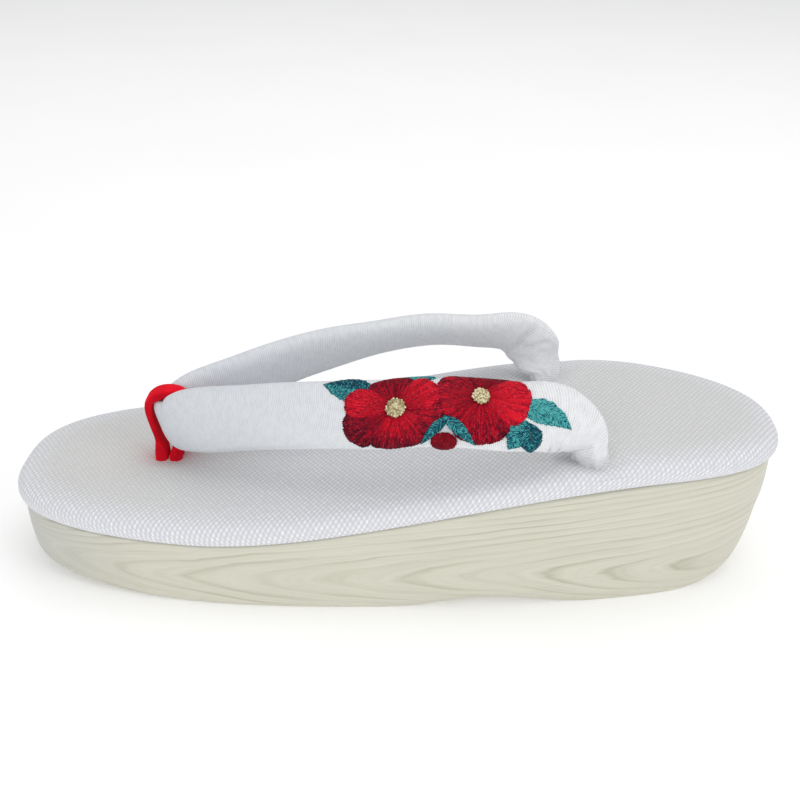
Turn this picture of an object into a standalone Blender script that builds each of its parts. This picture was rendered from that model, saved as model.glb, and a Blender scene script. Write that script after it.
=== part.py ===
"""Left geta with a cushioned footbed, a padded V strap with embroidered camellias and a red toe thong.

Toe at -X, heel at +X, outer side of the foot at -Y, floor at Z = 0.
"""
import math

import bpy
import numpy as np

MM = 0.001

# Driving dimensions of the base and the footbed
LENGTH = 240 * MM
RIM_OVERHANG = 1.8 * MM
BALL_HALF_WIDTH = 43.8 * MM
HEEL_HALF_WIDTH = 42.3 * MM
TOE_ROUNDNESS = 2.79
HEEL_ROUNDNESS = 2.49
FOREFOOT_SEAM = 21.9 * MM
HEEL_SEAM = 43.1 * MM
NARROWING_START = -0.55
NARROWING_END = 0.65
SEAM_CLIMB_START = -0.535
SEAM_CLIMB_END = 0.69
TOE_DROP_START = -0.49
TOE_DROP = 0.4 * MM
HEEL_DROP_START = 0.6
HEEL_DROP = 2.2 * MM
CUSHION_THICKNESS = 7.8 * MM
FIT_GAP = 0.3 * MM

# Driving dimensions of the underside
TOE_SPRING = 7.3 * MM
TOE_SPRING_RUN = 70 * MM
TOE_TUCK = 1.5 * MM
HEEL_LIFT = 15.7 * MM
HEEL_LIFT_RUN = 27.3 * MM
HEEL_TUCK = 4.5 * MM
ARCH_RISE = 3.3 * MM
ARCH_CENTRE = 30.4 * MM
ARCH_HALF_LENGTH = 32 * MM
WALL_DRAFT = 2.0 * MM
WALL_LEAN = 0.16
FLOOR_EDGE_ROUND = 1.2 * MM

# Driving dimensions of the strap, its holes and the thong
NOSE_X = -72.4 * MM
OUTER_FOOT_X = 58.5 * MM
INNER_FOOT_X = 50.2 * MM
STRAP_ROUNDNESS = 2.4
FACE_HALF_WIDTH = 10.5 * MM
FACE_HALF_THICK = 4.0 * MM
POCKET_DEPTH = 9 * MM
THONG_HOLE_X = -72.5 * MM
THONG_HOLE_HALF_LENGTH = 4.6 * MM
THONG_HOLE_HALF_WIDTH = 4.3 * MM
THONG_HOLE_ROUNDNESS = 6.0
THONG_ROUNDNESS = 4.0

# Driving dimensions of the embroidery on the outer arm
THREAD_BASE = 0.45 * MM
THREAD_PILE = 0.8 * MM
STAMEN_PILE = 0.7 * MM
PETAL_NOTCH = 0.3
FACE_TOP = 11.7 * MM
FACE_LOW = -12.3 * MM
PATCH_GAP = 0.45 * MM
SMALLEST_TRIM = 0.1

# Mesh density
OUTLINE_POINTS = 72
STRAP_SECTION_POINTS = 18
STRAP_STEPS = 3
THONG_STEPS = 3
FACE_STEPS = 24
FLOWER_POINTS = 48
LEAF_POINTS = 16
HOLE_POINTS = 24
THONG_SECTION_POINTS = 12
GIRTH_SAMPLES = 91
TRIM_STEPS = 91
SMOOTH_ANGLE = 40

BLOCK_HALF_LENGTH = LENGTH / 2 - RIM_OVERHANG

# Wall of the base from the seam down: share of the height, extra inset at the floor edge
WALL_ROWS = (
    dict(drop=0.00, inset=0.0),
    dict(drop=0.30, inset=0.0),
    dict(drop=0.60, inset=0.0),
    dict(drop=0.82, inset=0.0),
    dict(drop=0.95, inset=0.25),
    dict(drop=1.00, inset=1.0),
)

# Roll of the footbed from its underside over the rim to the flat top: mm outwards and upwards
RIM_ROWS = (
    dict(out=-0.6, up=0.0),
    dict(out=0.8, up=0.6),
    dict(out=1.6, up=2.0),
    dict(out=RIM_OVERHANG / MM, up=3.6),
    dict(out=1.3, up=5.3),
    dict(out=-0.4, up=6.7),
    dict(out=-3.5, up=7.4),
    dict(out=-10.0, up=7.7),
    dict(out=-22.0, up=CUSHION_THICKNESS / MM),
)

# Sections of one arm of the strap from the nose of the V to its hole: share of the reach along X,
# distance from the middle line and height over the footbed in mm, width and thickness in mm,
# tilt of the band from level and turn of the band in its own plane in degrees
STRAP_ROWS = (
    dict(reach=0.000, side=0.0, lift=13.2, width=12.2, thick=5.4, tilt=90, turn=-20),
    dict(reach=0.0248, side=4.4, lift=12.1, width=15.2, thick=7.2, tilt=88, turn=-12),
    dict(reach=0.0793, side=8.6, lift=16.5, width=20.7, thick=7.8, tilt=82, turn=0),
    dict(reach=0.188, side=14.0, lift=20.2, width=20.4, thick=8.0, tilt=74, turn=0),
    dict(reach=0.340, side=21.8, lift=23.1, width=20.1, thick=8.0, tilt=62, turn=0),
    dict(reach=0.5205, side=28.3, lift=22.9, width=20.6, thick=8.0, tilt=47, turn=0),
    dict(reach=0.672, side=31.3, lift=21.3, width=20.9, thick=8.0, tilt=42, turn=2),
    dict(reach=0.808, side=32.2, lift=17.2, width=21.0, thick=8.0, tilt=42, turn=8),
    dict(reach=0.897, side=32.0, lift=15.0, width=20.4, thick=8.2, tilt=50, turn=26),
    dict(reach=0.952, side=31.1, lift=10.3, width=18.6, thick=8.2, tilt=60, turn=55),
    dict(reach=0.988, side=30.1, lift=3.5, width=15.6, thick=7.9, tilt=16, turn=122),
    dict(reach=1.000, side=29.4, lift=-0.5, width=12.4, thick=7.9, tilt=10, turn=140),
    dict(reach=1.000, side=29.4, lift=-8.0, width=12.4, thick=7.9, tilt=10, turn=140),
    dict(reach=1.000, side=29.4, lift=-16.8, width=12.4, thick=7.9, tilt=10, turn=140),
)

# Loop of the thong from the front of its hole over the nose and down behind it: mm along X,
# mm over the footbed at the hole, width and thickness in mm
THONG_ROWS = (
    dict(along=-74.85, lift=-16.8, width=7.0, thick=3.6),
    dict(along=-74.85, lift=-7.0, width=7.0, thick=3.6),
    dict(along=-74.85, lift=0.5, width=7.6, thick=3.9),
    dict(along=-74.95, lift=4.2, width=7.4, thick=3.4),
    dict(along=-75.5, lift=7.2, width=7.2, thick=2.3),
    dict(along=-76.8, lift=12.3, width=7.2, thick=2.2),
    dict(along=-77.6, lift=17.0, width=7.4, thick=2.3),
    dict(along=-76.9, lift=20.0, width=7.4, thick=2.8),
    dict(along=-74.3, lift=21.9, width=7.4, thick=3.2),
    dict(along=-70.4, lift=22.8, width=6.2, thick=3.0),
    dict(along=-66.9, lift=22.3, width=4.4, thick=2.2),
    dict(along=-64.4, lift=18.8, width=4.2, thick=2.2),
    dict(along=-63.2, lift=14.0, width=4.4, thick=2.2),
    dict(along=-64.0, lift=9.0, width=4.4, thick=2.2),
    dict(along=-66.4, lift=4.5, width=4.6, thick=2.4),
    dict(along=-69.6, lift=1.6, width=6.8, thick=3.7),
    dict(along=-70.15, lift=-2.0, width=7.2, thick=3.8),
    dict(along=-70.15, lift=-7.0, width=7.0, thick=3.6),
    dict(along=-70.15, lift=-16.8, width=7.0, thick=3.6),
)

# Flowers on the outer arm: distance from the nose and over the cloth from the middle of the face, mm
FLOWER_ROWS = (
    dict(name="front", along=84.6, across=0.1, stamens=3.1),
    dict(name="rear", along=107.7, across=3.6, stamens=2.5),
)

# Petals: direction from the flower's middle in degrees, 0 towards the heel and 90 up the face,
# reach in mm and half of the angle that the petal spans
PETAL_ROWS = (
    dict(flower="front", direction=175, reach=15.8, spread=32),
    dict(flower="front", direction=205, reach=15.4, spread=25),
    dict(flower="front", direction=115, reach=11.6, spread=40),
    dict(flower="front", direction=30, reach=12.9, spread=34),
    dict(flower="front", direction=-15, reach=13.4, spread=30),
    dict(flower="front", direction=-75, reach=11.4, spread=42),
    dict(flower="rear", direction=-6, reach=14.6, spread=36),
    dict(flower="rear", direction=-75, reach=13.6, spread=38),
    dict(flower="rear", direction=-135, reach=11.0, spread=28),
    dict(flower="rear", direction=170, reach=11.8, spread=30),
    dict(flower="rear", direction=115, reach=9.5, spread=35),
    dict(flower="rear", direction=60, reach=9.2, spread=35),
)

# Leaves and sepals: base and tip on the same two distances, and half of the width, mm
LEAF_ROWS = (
    dict(name="leaf_front", base=(75.6, 4.9), tip=(62.2, 8.8), half_width=3.1),
    dict(name="leaf_rear", base=(122.5, -0.1), tip=(131.9, -1.0), half_width=3.4),
    dict(name="leaf_low_front", base=(120.2, -3.9), tip=(116.0, -10.3), half_width=2.7),
    dict(name="leaf_low_rear", base=(121.2, -4.0), tip=(122.2, -11.6), half_width=2.7),
    dict(name="leaf_top", base=(95.2, 10.4), tip=(85.4, 10.8), half_width=1.4),
    dict(name="sepal_front", base=(98.7, -4.2), tip=(92.3, -10.9), half_width=0.9),
    dict(name="sepal_rear", base=(99.6, -5.2), tip=(107.1, -11.0), half_width=0.9),
)

# Bud between the two flowers, on the same two distances, mm
BUD = dict(along=98.8, across=-9.6, half_length=2.9, half_height=2.0)

# Raised thread from the rim of a patch to its middle: share of the outline and share of the pile
PILE_ROWS = (
    dict(share=1.00, rise=0.4),
    dict(share=0.86, rise=0.9),
    dict(share=0.62, rise=1.0),
    dict(share=0.34, rise=1.0),
)


def smooth_climb(low, high, value):
    """Rise from 0 at low to 1 at high, level at both ends."""
    share = np.clip((value - low) / (high - low), 0.0, 1.0)
    return share * share * (3.0 - 2.0 * share)


def seam_height(x):
    """Height of the seam between base and footbed: low forefoot, climb to a high heel, falling ends."""
    place = x / BLOCK_HALF_LENGTH
    climb = smooth_climb(SEAM_CLIMB_START, SEAM_CLIMB_END, place)
    toe_share = np.clip((TOE_DROP_START - place) / (1.0 + TOE_DROP_START), 0.0, None)
    heel_share = np.clip((place - HEEL_DROP_START) / (1.0 - HEEL_DROP_START), 0.0, None)
    ends = TOE_DROP * toe_share ** 2 + HEEL_DROP * heel_share ** 2
    return FOREFOOT_SEAM + (HEEL_SEAM - FOREFOOT_SEAM) * climb - ends


def footbed_height(x):
    """Height of the footbed's flat top."""
    return seam_height(x) + FIT_GAP + CUSHION_THICKNESS


def end_lift(x, tip, run, lift):
    """Quarter ellipse that lifts the underside by lift over run, up to the tip."""
    share = np.clip((x - (tip - run)) / run, 0.0, 1.0)
    return lift * (1.0 - np.sqrt(1.0 - share ** 2))


def underside_height(x):
    """Underside: flat forefoot and heel on the floor, toe spring, lifted heel end, shallow arch."""
    toe = end_lift(-x, BLOCK_HALF_LENGTH - TOE_TUCK, TOE_SPRING_RUN, TOE_SPRING)
    heel = end_lift(x, BLOCK_HALF_LENGTH - HEEL_TUCK, HEEL_LIFT_RUN, HEEL_LIFT)
    arch_place = np.clip((x - ARCH_CENTRE) / ARCH_HALF_LENGTH, -1.0, 1.0)
    return toe + heel + ARCH_RISE * np.cos(arch_place * math.pi / 2.0) ** 2


def outline(side_out, toe_out, heel_out):
    """Plan outline of the sole: two superellipse halves on a width that narrows from ball to heel."""
    turn = np.arange(OUTLINE_POINTS) * 2.0 * math.pi / OUTLINE_POINTS
    along = np.round(np.cos(turn), 9)
    across = np.round(np.sin(turn), 9)
    power = 2.0 / np.where(along < 0.0, TOE_ROUNDNESS, HEEL_ROUNDNESS)
    place = np.sign(along) * np.abs(along) ** power
    half_length = BLOCK_HALF_LENGTH + np.where(along < 0.0, toe_out, heel_out)
    narrowing = smooth_climb(NARROWING_START, NARROWING_END, place)
    half_width = BALL_HALF_WIDTH + (HEEL_HALF_WIDTH - BALL_HALF_WIDTH) * narrowing + side_out
    return place * half_length, -np.sign(across) * np.abs(across) ** power * half_width


def catmull_rom(rows, steps):
    """Smooth curve through the rows of a table, with steps points for each span."""
    rows = np.asarray(rows, dtype=float)
    padded = np.vstack((2.0 * rows[0] - rows[1], rows, 2.0 * rows[-1] - rows[-2]))
    points = []
    for span in range(len(rows) - 1):
        before, start, end, after = padded[span:span + 4]
        for step in range(steps):
            t = step / steps
            points.append(0.5 * (2.0 * start + (end - before) * t
                                 + (2.0 * before - 5.0 * start + 4.0 * end - after) * t ** 2
                                 + (3.0 * start - before - 3.0 * end + after) * t ** 3))
    points.append(rows[-1])
    return np.array(points)


def columns(table, names):
    """Rows of a table as an array with the named columns in order."""
    return np.array([[row[name] for name in names] for row in table], dtype=float)


def unit(vectors):
    """Vectors scaled to length one."""
    return vectors / np.linalg.norm(vectors, axis=-1, keepdims=True)


def running_length(points):
    """Distance travelled along a line of points."""
    steps = np.linalg.norm(np.diff(points, axis=0), axis=1)
    return np.concatenate(((0.0,), np.cumsum(steps)))


def finish(name, colour, roughness):
    """Plain material in the colour and roughness of the real piece."""
    material = bpy.data.materials.new(name)
    material.use_nodes = True
    shader = material.node_tree.nodes["Principled BSDF"]
    shader.inputs["Base Color"].default_value = (*colour, 1.0)
    shader.inputs["Roughness"].default_value = roughness
    shader.inputs["Metallic"].default_value = 0.0
    return material


def add_piece(name, vertices, faces, material):
    """New smooth-shaded object from vertices and faces."""
    mesh = bpy.data.meshes.new(name)
    mesh.from_pydata([tuple(vertex) for vertex in vertices], [], faces)
    mesh.materials.append(material)
    mesh.shade_smooth()
    mesh.set_sharp_from_angle(angle=math.radians(SMOOTH_ANGLE))
    piece = bpy.data.objects.new(name, mesh)
    bpy.context.scene.collection.objects.link(piece)
    return piece


def ring_walls(ring_count, ring_size):
    """Faces between neighbouring closed rings of points."""
    faces = []
    for ring in range(ring_count - 1):
        for point in range(ring_size):
            following = (point + 1) % ring_size
            low = ring * ring_size
            high = low + ring_size
            faces.append((low + point, low + following, high + following, high + point))
    return faces


def ladder(first, size, upward):
    """Faces across a ring of mirrored points, rung by rung from the heel tip to the toe tip."""
    half = size // 2
    rungs = [(0, 1, size - 1)]
    rungs += [(i, i + 1, size - i - 1, size - i) for i in range(1, half - 1)]
    rungs.append((half - 1, half, half + 1))
    faces = [tuple(first + index for index in rung) for rung in rungs]
    return faces if not upward else [face[::-1] for face in faces]


def loft_sole_piece(name, rings, material):
    """Closed body from a stack of outline rings, lowest ring first."""
    vertices = np.vstack(rings)
    faces = ring_walls(len(rings), OUTLINE_POINTS)
    faces = [face[::-1] for face in faces]
    faces += ladder(0, OUTLINE_POINTS, upward=False)
    faces += ladder((len(rings) - 1) * OUTLINE_POINTS, OUTLINE_POINTS, upward=True)
    return add_piece(name, vertices, faces, material)


def sole_block(material):
    """Base with toe spring, arch and rounded heel, and walls that lean in more where they are higher."""
    rim_x, _ = outline(0.0, 0.0, 0.0)
    draft = WALL_DRAFT + WALL_LEAN * (seam_height(rim_x) - FOREFOOT_SEAM)
    rings = []
    for row in reversed(WALL_ROWS):
        drop = row["drop"]
        side_in = draft * drop + FLOOR_EDGE_ROUND * row["inset"]
        tuck = drop ** 3
        x, y = outline(-side_in, -TOE_TUCK * tuck, -HEEL_TUCK * tuck)
        z = seam_height(x) * (1.0 - drop) + underside_height(x) * drop
        rings.append(np.column_stack((x, y, z)))
    return loft_sole_piece("sole_block", rings, material)


def cushion(material):
    """Padded footbed with a rolled rim that stands proud of the base."""
    rings = []
    for row in RIM_ROWS:
        out = row["out"] * MM
        x, y = outline(out, out, out)
        z = seam_height(x) + FIT_GAP + row["up"] * MM
        rings.append(np.column_stack((x, y, z)))
    return loft_sole_piece("cushion", rings, material)


def superellipse(count, power):
    """Points round a superellipse of half axes one."""
    turn = np.arange(count) * 2.0 * math.pi / count
    circle = np.array((np.cos(turn), np.sin(turn)))
    return np.sign(circle) * np.abs(circle) ** (2.0 / power)


def sweep(name, centres, wide_axes, thick_axes, widths, thicks, power, points, material):
    """Closed band with superellipse sections along a path, capped at both ends."""
    wide, thick = superellipse(points, power)
    rings = (centres[:, None, :]
             + wide_axes[:, None, :] * (wide[None, :] * widths[:, None] / 2.0)[:, :, None]
             + thick_axes[:, None, :] * (thick[None, :] * thicks[:, None] / 2.0)[:, :, None])
    faces = ring_walls(len(centres), points)
    last = (len(centres) - 1) * points
    faces.append(tuple(range(points))[::-1])
    faces.append(tuple(range(last, last + points)))
    return add_piece(name, rings.reshape(-1, 3), faces, material)


def both_arms(inner, outer):
    """Values from the inner hole up to the nose and on to the outer hole, with the nose once."""
    return np.concatenate((inner[:0:-1], outer))


def strap_path(steps):
    """Centres, axes and sizes of the strap from the inner hole over the nose to the outer hole."""
    names = ("reach", "side", "lift", "width", "thick", "tilt", "turn")
    reach, side, lift, width, thick, tilt, turn = columns(STRAP_ROWS, names).T
    inner_x = NOSE_X + (INNER_FOOT_X - NOSE_X) * reach
    outer_x = NOSE_X + (OUTER_FOOT_X - NOSE_X) * reach
    x = both_arms(inner_x, outer_x)
    rows = np.column_stack((
        x,
        both_arms(side, -side) * MM,
        footbed_height(x) + both_arms(lift, lift) * MM,
        both_arms(width, width) * MM,
        both_arms(thick, thick) * MM,
        np.radians(both_arms(180.0 - tilt, tilt)),
        np.radians(both_arms(turn, turn)),
    ))
    curve = catmull_rom(rows, steps)
    centres = curve[:, :3]
    widths, thicks, tilt, turn = curve[:, 3:].T
    along = unit(np.gradient(centres, axis=0))
    upright = np.column_stack((np.sin(turn), np.cos(turn) * np.cos(tilt), np.cos(turn) * np.sin(tilt)))
    wide_axes = unit(upright - along * np.sum(upright * along, axis=1, keepdims=True))
    thick_axes = np.cross(along, wide_axes)
    return centres, wide_axes, thick_axes, widths, thicks


def strap(material):
    """Padded V strap, one band from hole to hole with its fold at the nose."""
    centres, wide_axes, thick_axes, widths, thicks = strap_path(STRAP_STEPS)
    return sweep("strap", centres, wide_axes, thick_axes, widths, thicks,
                 STRAP_ROUNDNESS, STRAP_SECTION_POINTS, material)


def outer_face(along, across, height):
    """Point on the outer arm: distance from the nose, distance over the cloth from the middle of the
    face, positive upwards, and height over the cloth along the normal of the superellipse section."""
    nose = (len(STRAP_ROWS) - 1) * FACE_STEPS
    path = np.column_stack(strap_path(FACE_STEPS))[nose:]
    travel = running_length(path[:, :3])
    here = np.column_stack([np.interp(along, travel, column) for column in path.T])
    centre = here[:, 0:3]
    wide_axis = here[:, 3:6]
    thick_axis = here[:, 6:9]
    half_width, half_thick = here[:, 9:11].T / 2.0
    quarter = np.linspace(0.0, math.pi / 2.0, GIRTH_SAMPLES)
    section = np.column_stack((np.sin(quarter), np.cos(quarter))) ** (2.0 / STRAP_ROUNDNESS)
    girth = running_length(section * (FACE_HALF_WIDTH, FACE_HALF_THICK))
    wide = np.interp(np.abs(across), girth, section[:, 0]) * np.sign(across)
    thick = np.interp(np.abs(across), girth, section[:, 1])
    slope = STRAP_ROUNDNESS - 1.0
    wide_lean = np.sign(wide) * np.abs(wide) ** slope / half_width
    thick_lean = thick ** slope / half_thick
    normal = unit(wide_axis * wide_lean[:, None] + thick_axis * thick_lean[:, None])
    surface = (centre + wide_axis * (wide * half_width)[:, None]
               + thick_axis * (thick * half_thick)[:, None])
    return surface + normal * np.asarray(height).reshape(-1, 1)


def thong(material):
    """Flat felt band looped over the nose of the strap, both ends in the front hole."""
    rows = columns(THONG_ROWS, ("along", "lift", "width", "thick")) * MM
    curve = catmull_rom(rows, THONG_STEPS)
    top = footbed_height(THONG_HOLE_X)
    centres = np.column_stack((curve[:, 0], np.zeros(len(curve)), top + curve[:, 1]))
    along = unit(np.gradient(centres, axis=0))
    across = np.tile((0.0, 1.0, 0.0), (len(curve), 1))
    thick_axes = np.cross(along, across)
    return sweep("thong", centres, across, thick_axes, curve[:, 2], curve[:, 3],
                 THONG_ROUNDNESS, THONG_SECTION_POINTS, material)


def hole_cutter(name, x, y, lean, half_wide, half_thick, power):
    """Oval column that cuts a strap hole through the footbed and a pocket into the base, its long axis
    turned by lean from the X axis."""
    wide, thick = superellipse(HOLE_POINTS, power)
    wide = wide * half_wide
    thick = thick * half_thick
    low = seam_height(x) - POCKET_DEPTH
    high = footbed_height(x) + CUSHION_THICKNESS
    base = np.column_stack((x + wide * math.cos(lean) - thick * math.sin(lean),
                            y + wide * math.sin(lean) + thick * math.cos(lean),
                            np.full(HOLE_POINTS, low)))
    lid = base + np.array((0.0, 0.0, high - low))
    faces = ring_walls(2, HOLE_POINTS)
    faces.append(tuple(range(HOLE_POINTS))[::-1])
    faces.append(tuple(range(HOLE_POINTS, 2 * HOLE_POINTS)))
    cutter = add_piece(name, np.vstack((base, lid)), faces, finish(name, (0.5, 0.5, 0.5), 0.5))
    cutter.hide_render = True
    cutter.display_type = "WIRE"
    return cutter


def cut(piece, cutter):
    """Boolean cut kept live on the piece."""
    modifier = piece.modifiers.new("cut_" + cutter.name, "BOOLEAN")
    modifier.operation = "DIFFERENCE"
    modifier.object = cutter


def flower_outline(flower):
    """Rosette: at each angle the longest of its petals, each rounded off towards its sides."""
    angles = np.arange(FLOWER_POINTS) * 360.0 / FLOWER_POINTS
    reach = np.zeros(FLOWER_POINTS)
    for petal in PETAL_ROWS:
        if petal["flower"] == flower["name"]:
            away = np.abs((angles - petal["direction"] + 180.0) % 360.0 - 180.0) / petal["spread"]
            reach = np.maximum(reach, petal["reach"] * (1.0 - PETAL_NOTCH * away ** 2))
    middle = np.array((flower["along"], flower["across"])) * MM
    turn = np.radians(angles)
    return middle, middle + np.column_stack((np.cos(turn), np.sin(turn))) * reach[:, None] * MM


def oval_outline(along, across, half_length, half_height):
    """Oval patch, sizes in mm."""
    middle = np.array((along, across)) * MM
    turn = np.arange(LEAF_POINTS) * 2.0 * math.pi / LEAF_POINTS
    return middle, middle + np.column_stack((half_length * np.cos(turn), half_height * np.sin(turn))) * MM


def leaf_outline(leaf):
    """Pointed leaf: a sine bow on either side of the line from base to tip."""
    base = np.array(leaf["base"]) * MM
    tip = np.array(leaf["tip"]) * MM
    half = LEAF_POINTS // 2
    share = np.concatenate((np.arange(half), np.arange(half, 0, -1))) / half
    side = np.concatenate((-np.ones(half), np.ones(half)))
    bow = side * np.sin(math.pi * share) * leaf["half_width"] * MM
    across = unit(np.array((base[1] - tip[1], tip[0] - base[0])))
    return (base + tip) / 2.0, base + (tip - base) * share[:, None] + across * bow[:, None]


def clearance(points, patch):
    """Distance of points outside the rim of another patch, measured from that patch's middle."""
    middle, rim = patch
    rim_away = rim - middle
    away = points - middle
    rim_angle = np.arctan2(rim_away[:, 1], rim_away[:, 0])
    order = np.argsort(rim_angle)
    angle = np.arctan2(away[:, 1], away[:, 0])
    radius = np.linalg.norm(rim_away, axis=1)
    rim_radius = np.interp(angle, rim_angle[order], radius[order], period=2.0 * math.pi)
    return np.linalg.norm(away, axis=1) - rim_radius


def trim(patch, others):
    """Outline drawn in towards its middle until it is clear of the patches sewn before it."""
    middle, rim = patch
    trimmed = rim.copy()
    for point in range(len(rim)):
        for share in np.linspace(1.0, SMALLEST_TRIM, TRIM_STEPS):
            spot = middle + (rim[point] - middle) * share
            if all(clearance(spot[None], other)[0] > PATCH_GAP for other in others):
                break
        trimmed[point] = spot
    trimmed[:, 1] = np.clip(trimmed[:, 1], FACE_LOW, FACE_TOP)
    return middle, trimmed


def raised_patch(name, patch, base, pile, material):
    """Closed pad of thread between two heights over the cloth of the outer arm."""
    middle, rim = patch
    flat = []
    heights = []
    for row in reversed(PILE_ROWS):
        flat.append(middle + (rim - middle) * row["share"])
        heights.append(base)
    for row in PILE_ROWS:
        flat.append(middle + (rim - middle) * row["share"])
        heights.append(base + pile * row["rise"])
    rings = [outer_face(ring[:, 0], ring[:, 1], np.full(len(ring), height))
             for ring, height in zip(flat, heights)]
    poles = outer_face(*np.vstack((middle, middle)).T, np.array((base, base + pile)))
    size = len(rim)
    last = (len(rings) - 1) * size
    low_pole = len(rings) * size
    high_pole = low_pole + 1
    faces = ring_walls(len(rings), size)
    for point in range(size):
        following = (point + 1) % size
        faces.append((low_pole, following, point))
        faces.append((high_pole, last + point, last + following))
    return add_piece(name, np.vstack(rings + [poles]), faces, material)


def embroidery(petal_finish, stamen_finish, leaf_finish, bud_finish):
    """Camellias, stamens, leaves, sepals and bud, each trimmed to what is sewn before it."""
    sewn = []
    for flower in FLOWER_ROWS:
        patch = trim(flower_outline(flower), sewn)
        sewn.append(patch)
        raised_patch("flower_" + flower["name"], patch, THREAD_BASE, THREAD_PILE, petal_finish)
        knot = oval_outline(flower["along"], flower["across"], flower["stamens"], flower["stamens"])
        knot_base = THREAD_BASE + THREAD_PILE + FIT_GAP
        raised_patch("stamens_" + flower["name"], knot, knot_base, STAMEN_PILE, stamen_finish)
    patch = trim(oval_outline(**BUD), sewn)
    sewn.append(patch)
    raised_patch("bud", patch, THREAD_BASE, THREAD_PILE, bud_finish)
    for leaf in LEAF_ROWS:
        patch = trim(leaf_outline(leaf), sewn)
        sewn.append(patch)
        raised_patch(leaf["name"], patch, THREAD_BASE, THREAD_PILE, leaf_finish)


for old in list(bpy.data.objects):
    bpy.data.objects.remove(old, do_unlink=True)

block = sole_block(finish("wood_grain", (0.66, 0.63, 0.52), 0.45))
footbed = cushion(finish("woven_white", (0.80, 0.81, 0.82), 0.85))
strap(finish("strap_cloth", (0.84, 0.85, 0.88), 0.8))
thong(finish("red_felt", (0.60, 0.01, 0.02), 0.9))
embroidery(
    petal_finish=finish("petal_thread", (0.50, 0.01, 0.02), 0.5),
    stamen_finish=finish("stamen_thread", (0.60, 0.50, 0.24), 0.5),
    leaf_finish=finish("leaf_thread", (0.01, 0.20, 0.23), 0.5),
    bud_finish=finish("bud_thread", (0.32, 0.01, 0.03), 0.5),
)

foot = STRAP_ROWS[-1]
foot_side = foot["side"] * MM
foot_half_wide = foot["width"] * MM / 2.0 + FIT_GAP
foot_half_thick = foot["thick"] * MM / 2.0 + FIT_GAP
foot_axes = strap_path(STRAP_STEPS)[1]
inner_lean = math.atan2(foot_axes[0, 1], foot_axes[0, 0])
outer_lean = math.atan2(foot_axes[-1, 1], foot_axes[-1, 0])
cutters = (
    hole_cutter("outer_hole", OUTER_FOOT_X, -foot_side, outer_lean, foot_half_wide, foot_half_thick,
                STRAP_ROUNDNESS),
    hole_cutter("inner_hole", INNER_FOOT_X, foot_side, inner_lean, foot_half_wide, foot_half_thick,
                STRAP_ROUNDNESS),
    hole_cutter("thong_hole", THONG_HOLE_X, 0.0, 0.0, THONG_HOLE_HALF_LENGTH, THONG_HOLE_HALF_WIDTH,
                THONG_HOLE_ROUNDNESS),
)
for cutter in cutters:
    cut(block, cutter)
    cut(footbed, cutter)
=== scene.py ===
"""Looks of a left geta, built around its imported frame: toe at -X, outer side at -Y, floor at Z = 0."""
import math

import bmesh
import bpy
import numpy as np
from mathutils import Matrix


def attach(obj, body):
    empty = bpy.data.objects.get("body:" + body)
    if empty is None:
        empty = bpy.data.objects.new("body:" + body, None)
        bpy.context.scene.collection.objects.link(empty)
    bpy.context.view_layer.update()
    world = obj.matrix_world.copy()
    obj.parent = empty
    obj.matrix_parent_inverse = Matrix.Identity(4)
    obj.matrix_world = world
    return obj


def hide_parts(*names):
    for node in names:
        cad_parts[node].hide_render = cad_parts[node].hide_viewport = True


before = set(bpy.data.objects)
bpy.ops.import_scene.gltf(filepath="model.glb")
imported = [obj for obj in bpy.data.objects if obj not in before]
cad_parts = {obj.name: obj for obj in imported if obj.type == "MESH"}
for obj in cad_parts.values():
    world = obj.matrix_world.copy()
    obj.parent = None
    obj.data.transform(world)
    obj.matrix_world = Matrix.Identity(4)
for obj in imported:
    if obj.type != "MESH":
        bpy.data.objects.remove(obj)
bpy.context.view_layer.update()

# Base
# A wedge of light wood sawn to the outline of the foot, its wall drafted inwards to the floor and
# finished with a pale, satin grain. The toe springs up, a shallow arch crosses under the instep and
# the heel end is rounded up.
MM = 0.001
LENGTH = 240 * MM
RIM_OVERHANG = 1.8 * MM
BALL_HALF_WIDTH = 43.8 * MM
HEEL_HALF_WIDTH = 42.3 * MM
NARROWS_FROM = -0.55
NARROWS_TO = 0.65
TOE_ROUNDNESS = 2.79
HEEL_ROUNDNESS = 2.49
FOREFOOT_SEAM = 21.9 * MM
HEEL_SEAM = 43.1 * MM
SEAM_CLIMB_FROM = -0.535
SEAM_CLIMB_TO = 0.69
TOE_DROP = 0.4 * MM
TOE_DROP_FROM = -0.49
HEEL_DROP = 2.2 * MM
HEEL_DROP_FROM = 0.6
TOE_SPRING = 7.3 * MM
TOE_SPRING_RUN = 70 * MM
TOE_TUCK = 1.5 * MM
HEEL_LIFT = 15.7 * MM
HEEL_LIFT_RUN = 27.3 * MM
HEEL_TUCK = 4.5 * MM
ARCH_RISE = 3.3 * MM
ARCH_CENTRE = 30.4 * MM
ARCH_HALF_LENGTH = 32 * MM
WALL_DRAFT = 2.0 * MM
WALL_LEAN = 0.16
FLOOR_EDGE_ROUND = 1.2 * MM
FLOOR_EDGE_FROM = 0.88
HALF_LENGTH = LENGTH / 2 - RIM_OVERHANG
OUTLINE_POINTS = 320
WALL_ROWS = 34
WALL_CROWDING = 1.4
MIDDLE_ROWS = 4


def smooth_climb(low, high, value):
    """Rise from 0 at low to 1 at high: three times the square of the share less twice its cube."""
    share = np.clip((value - low) / (high - low), 0.0, 1.0)
    return share * share * (3.0 - 2.0 * share)


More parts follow.
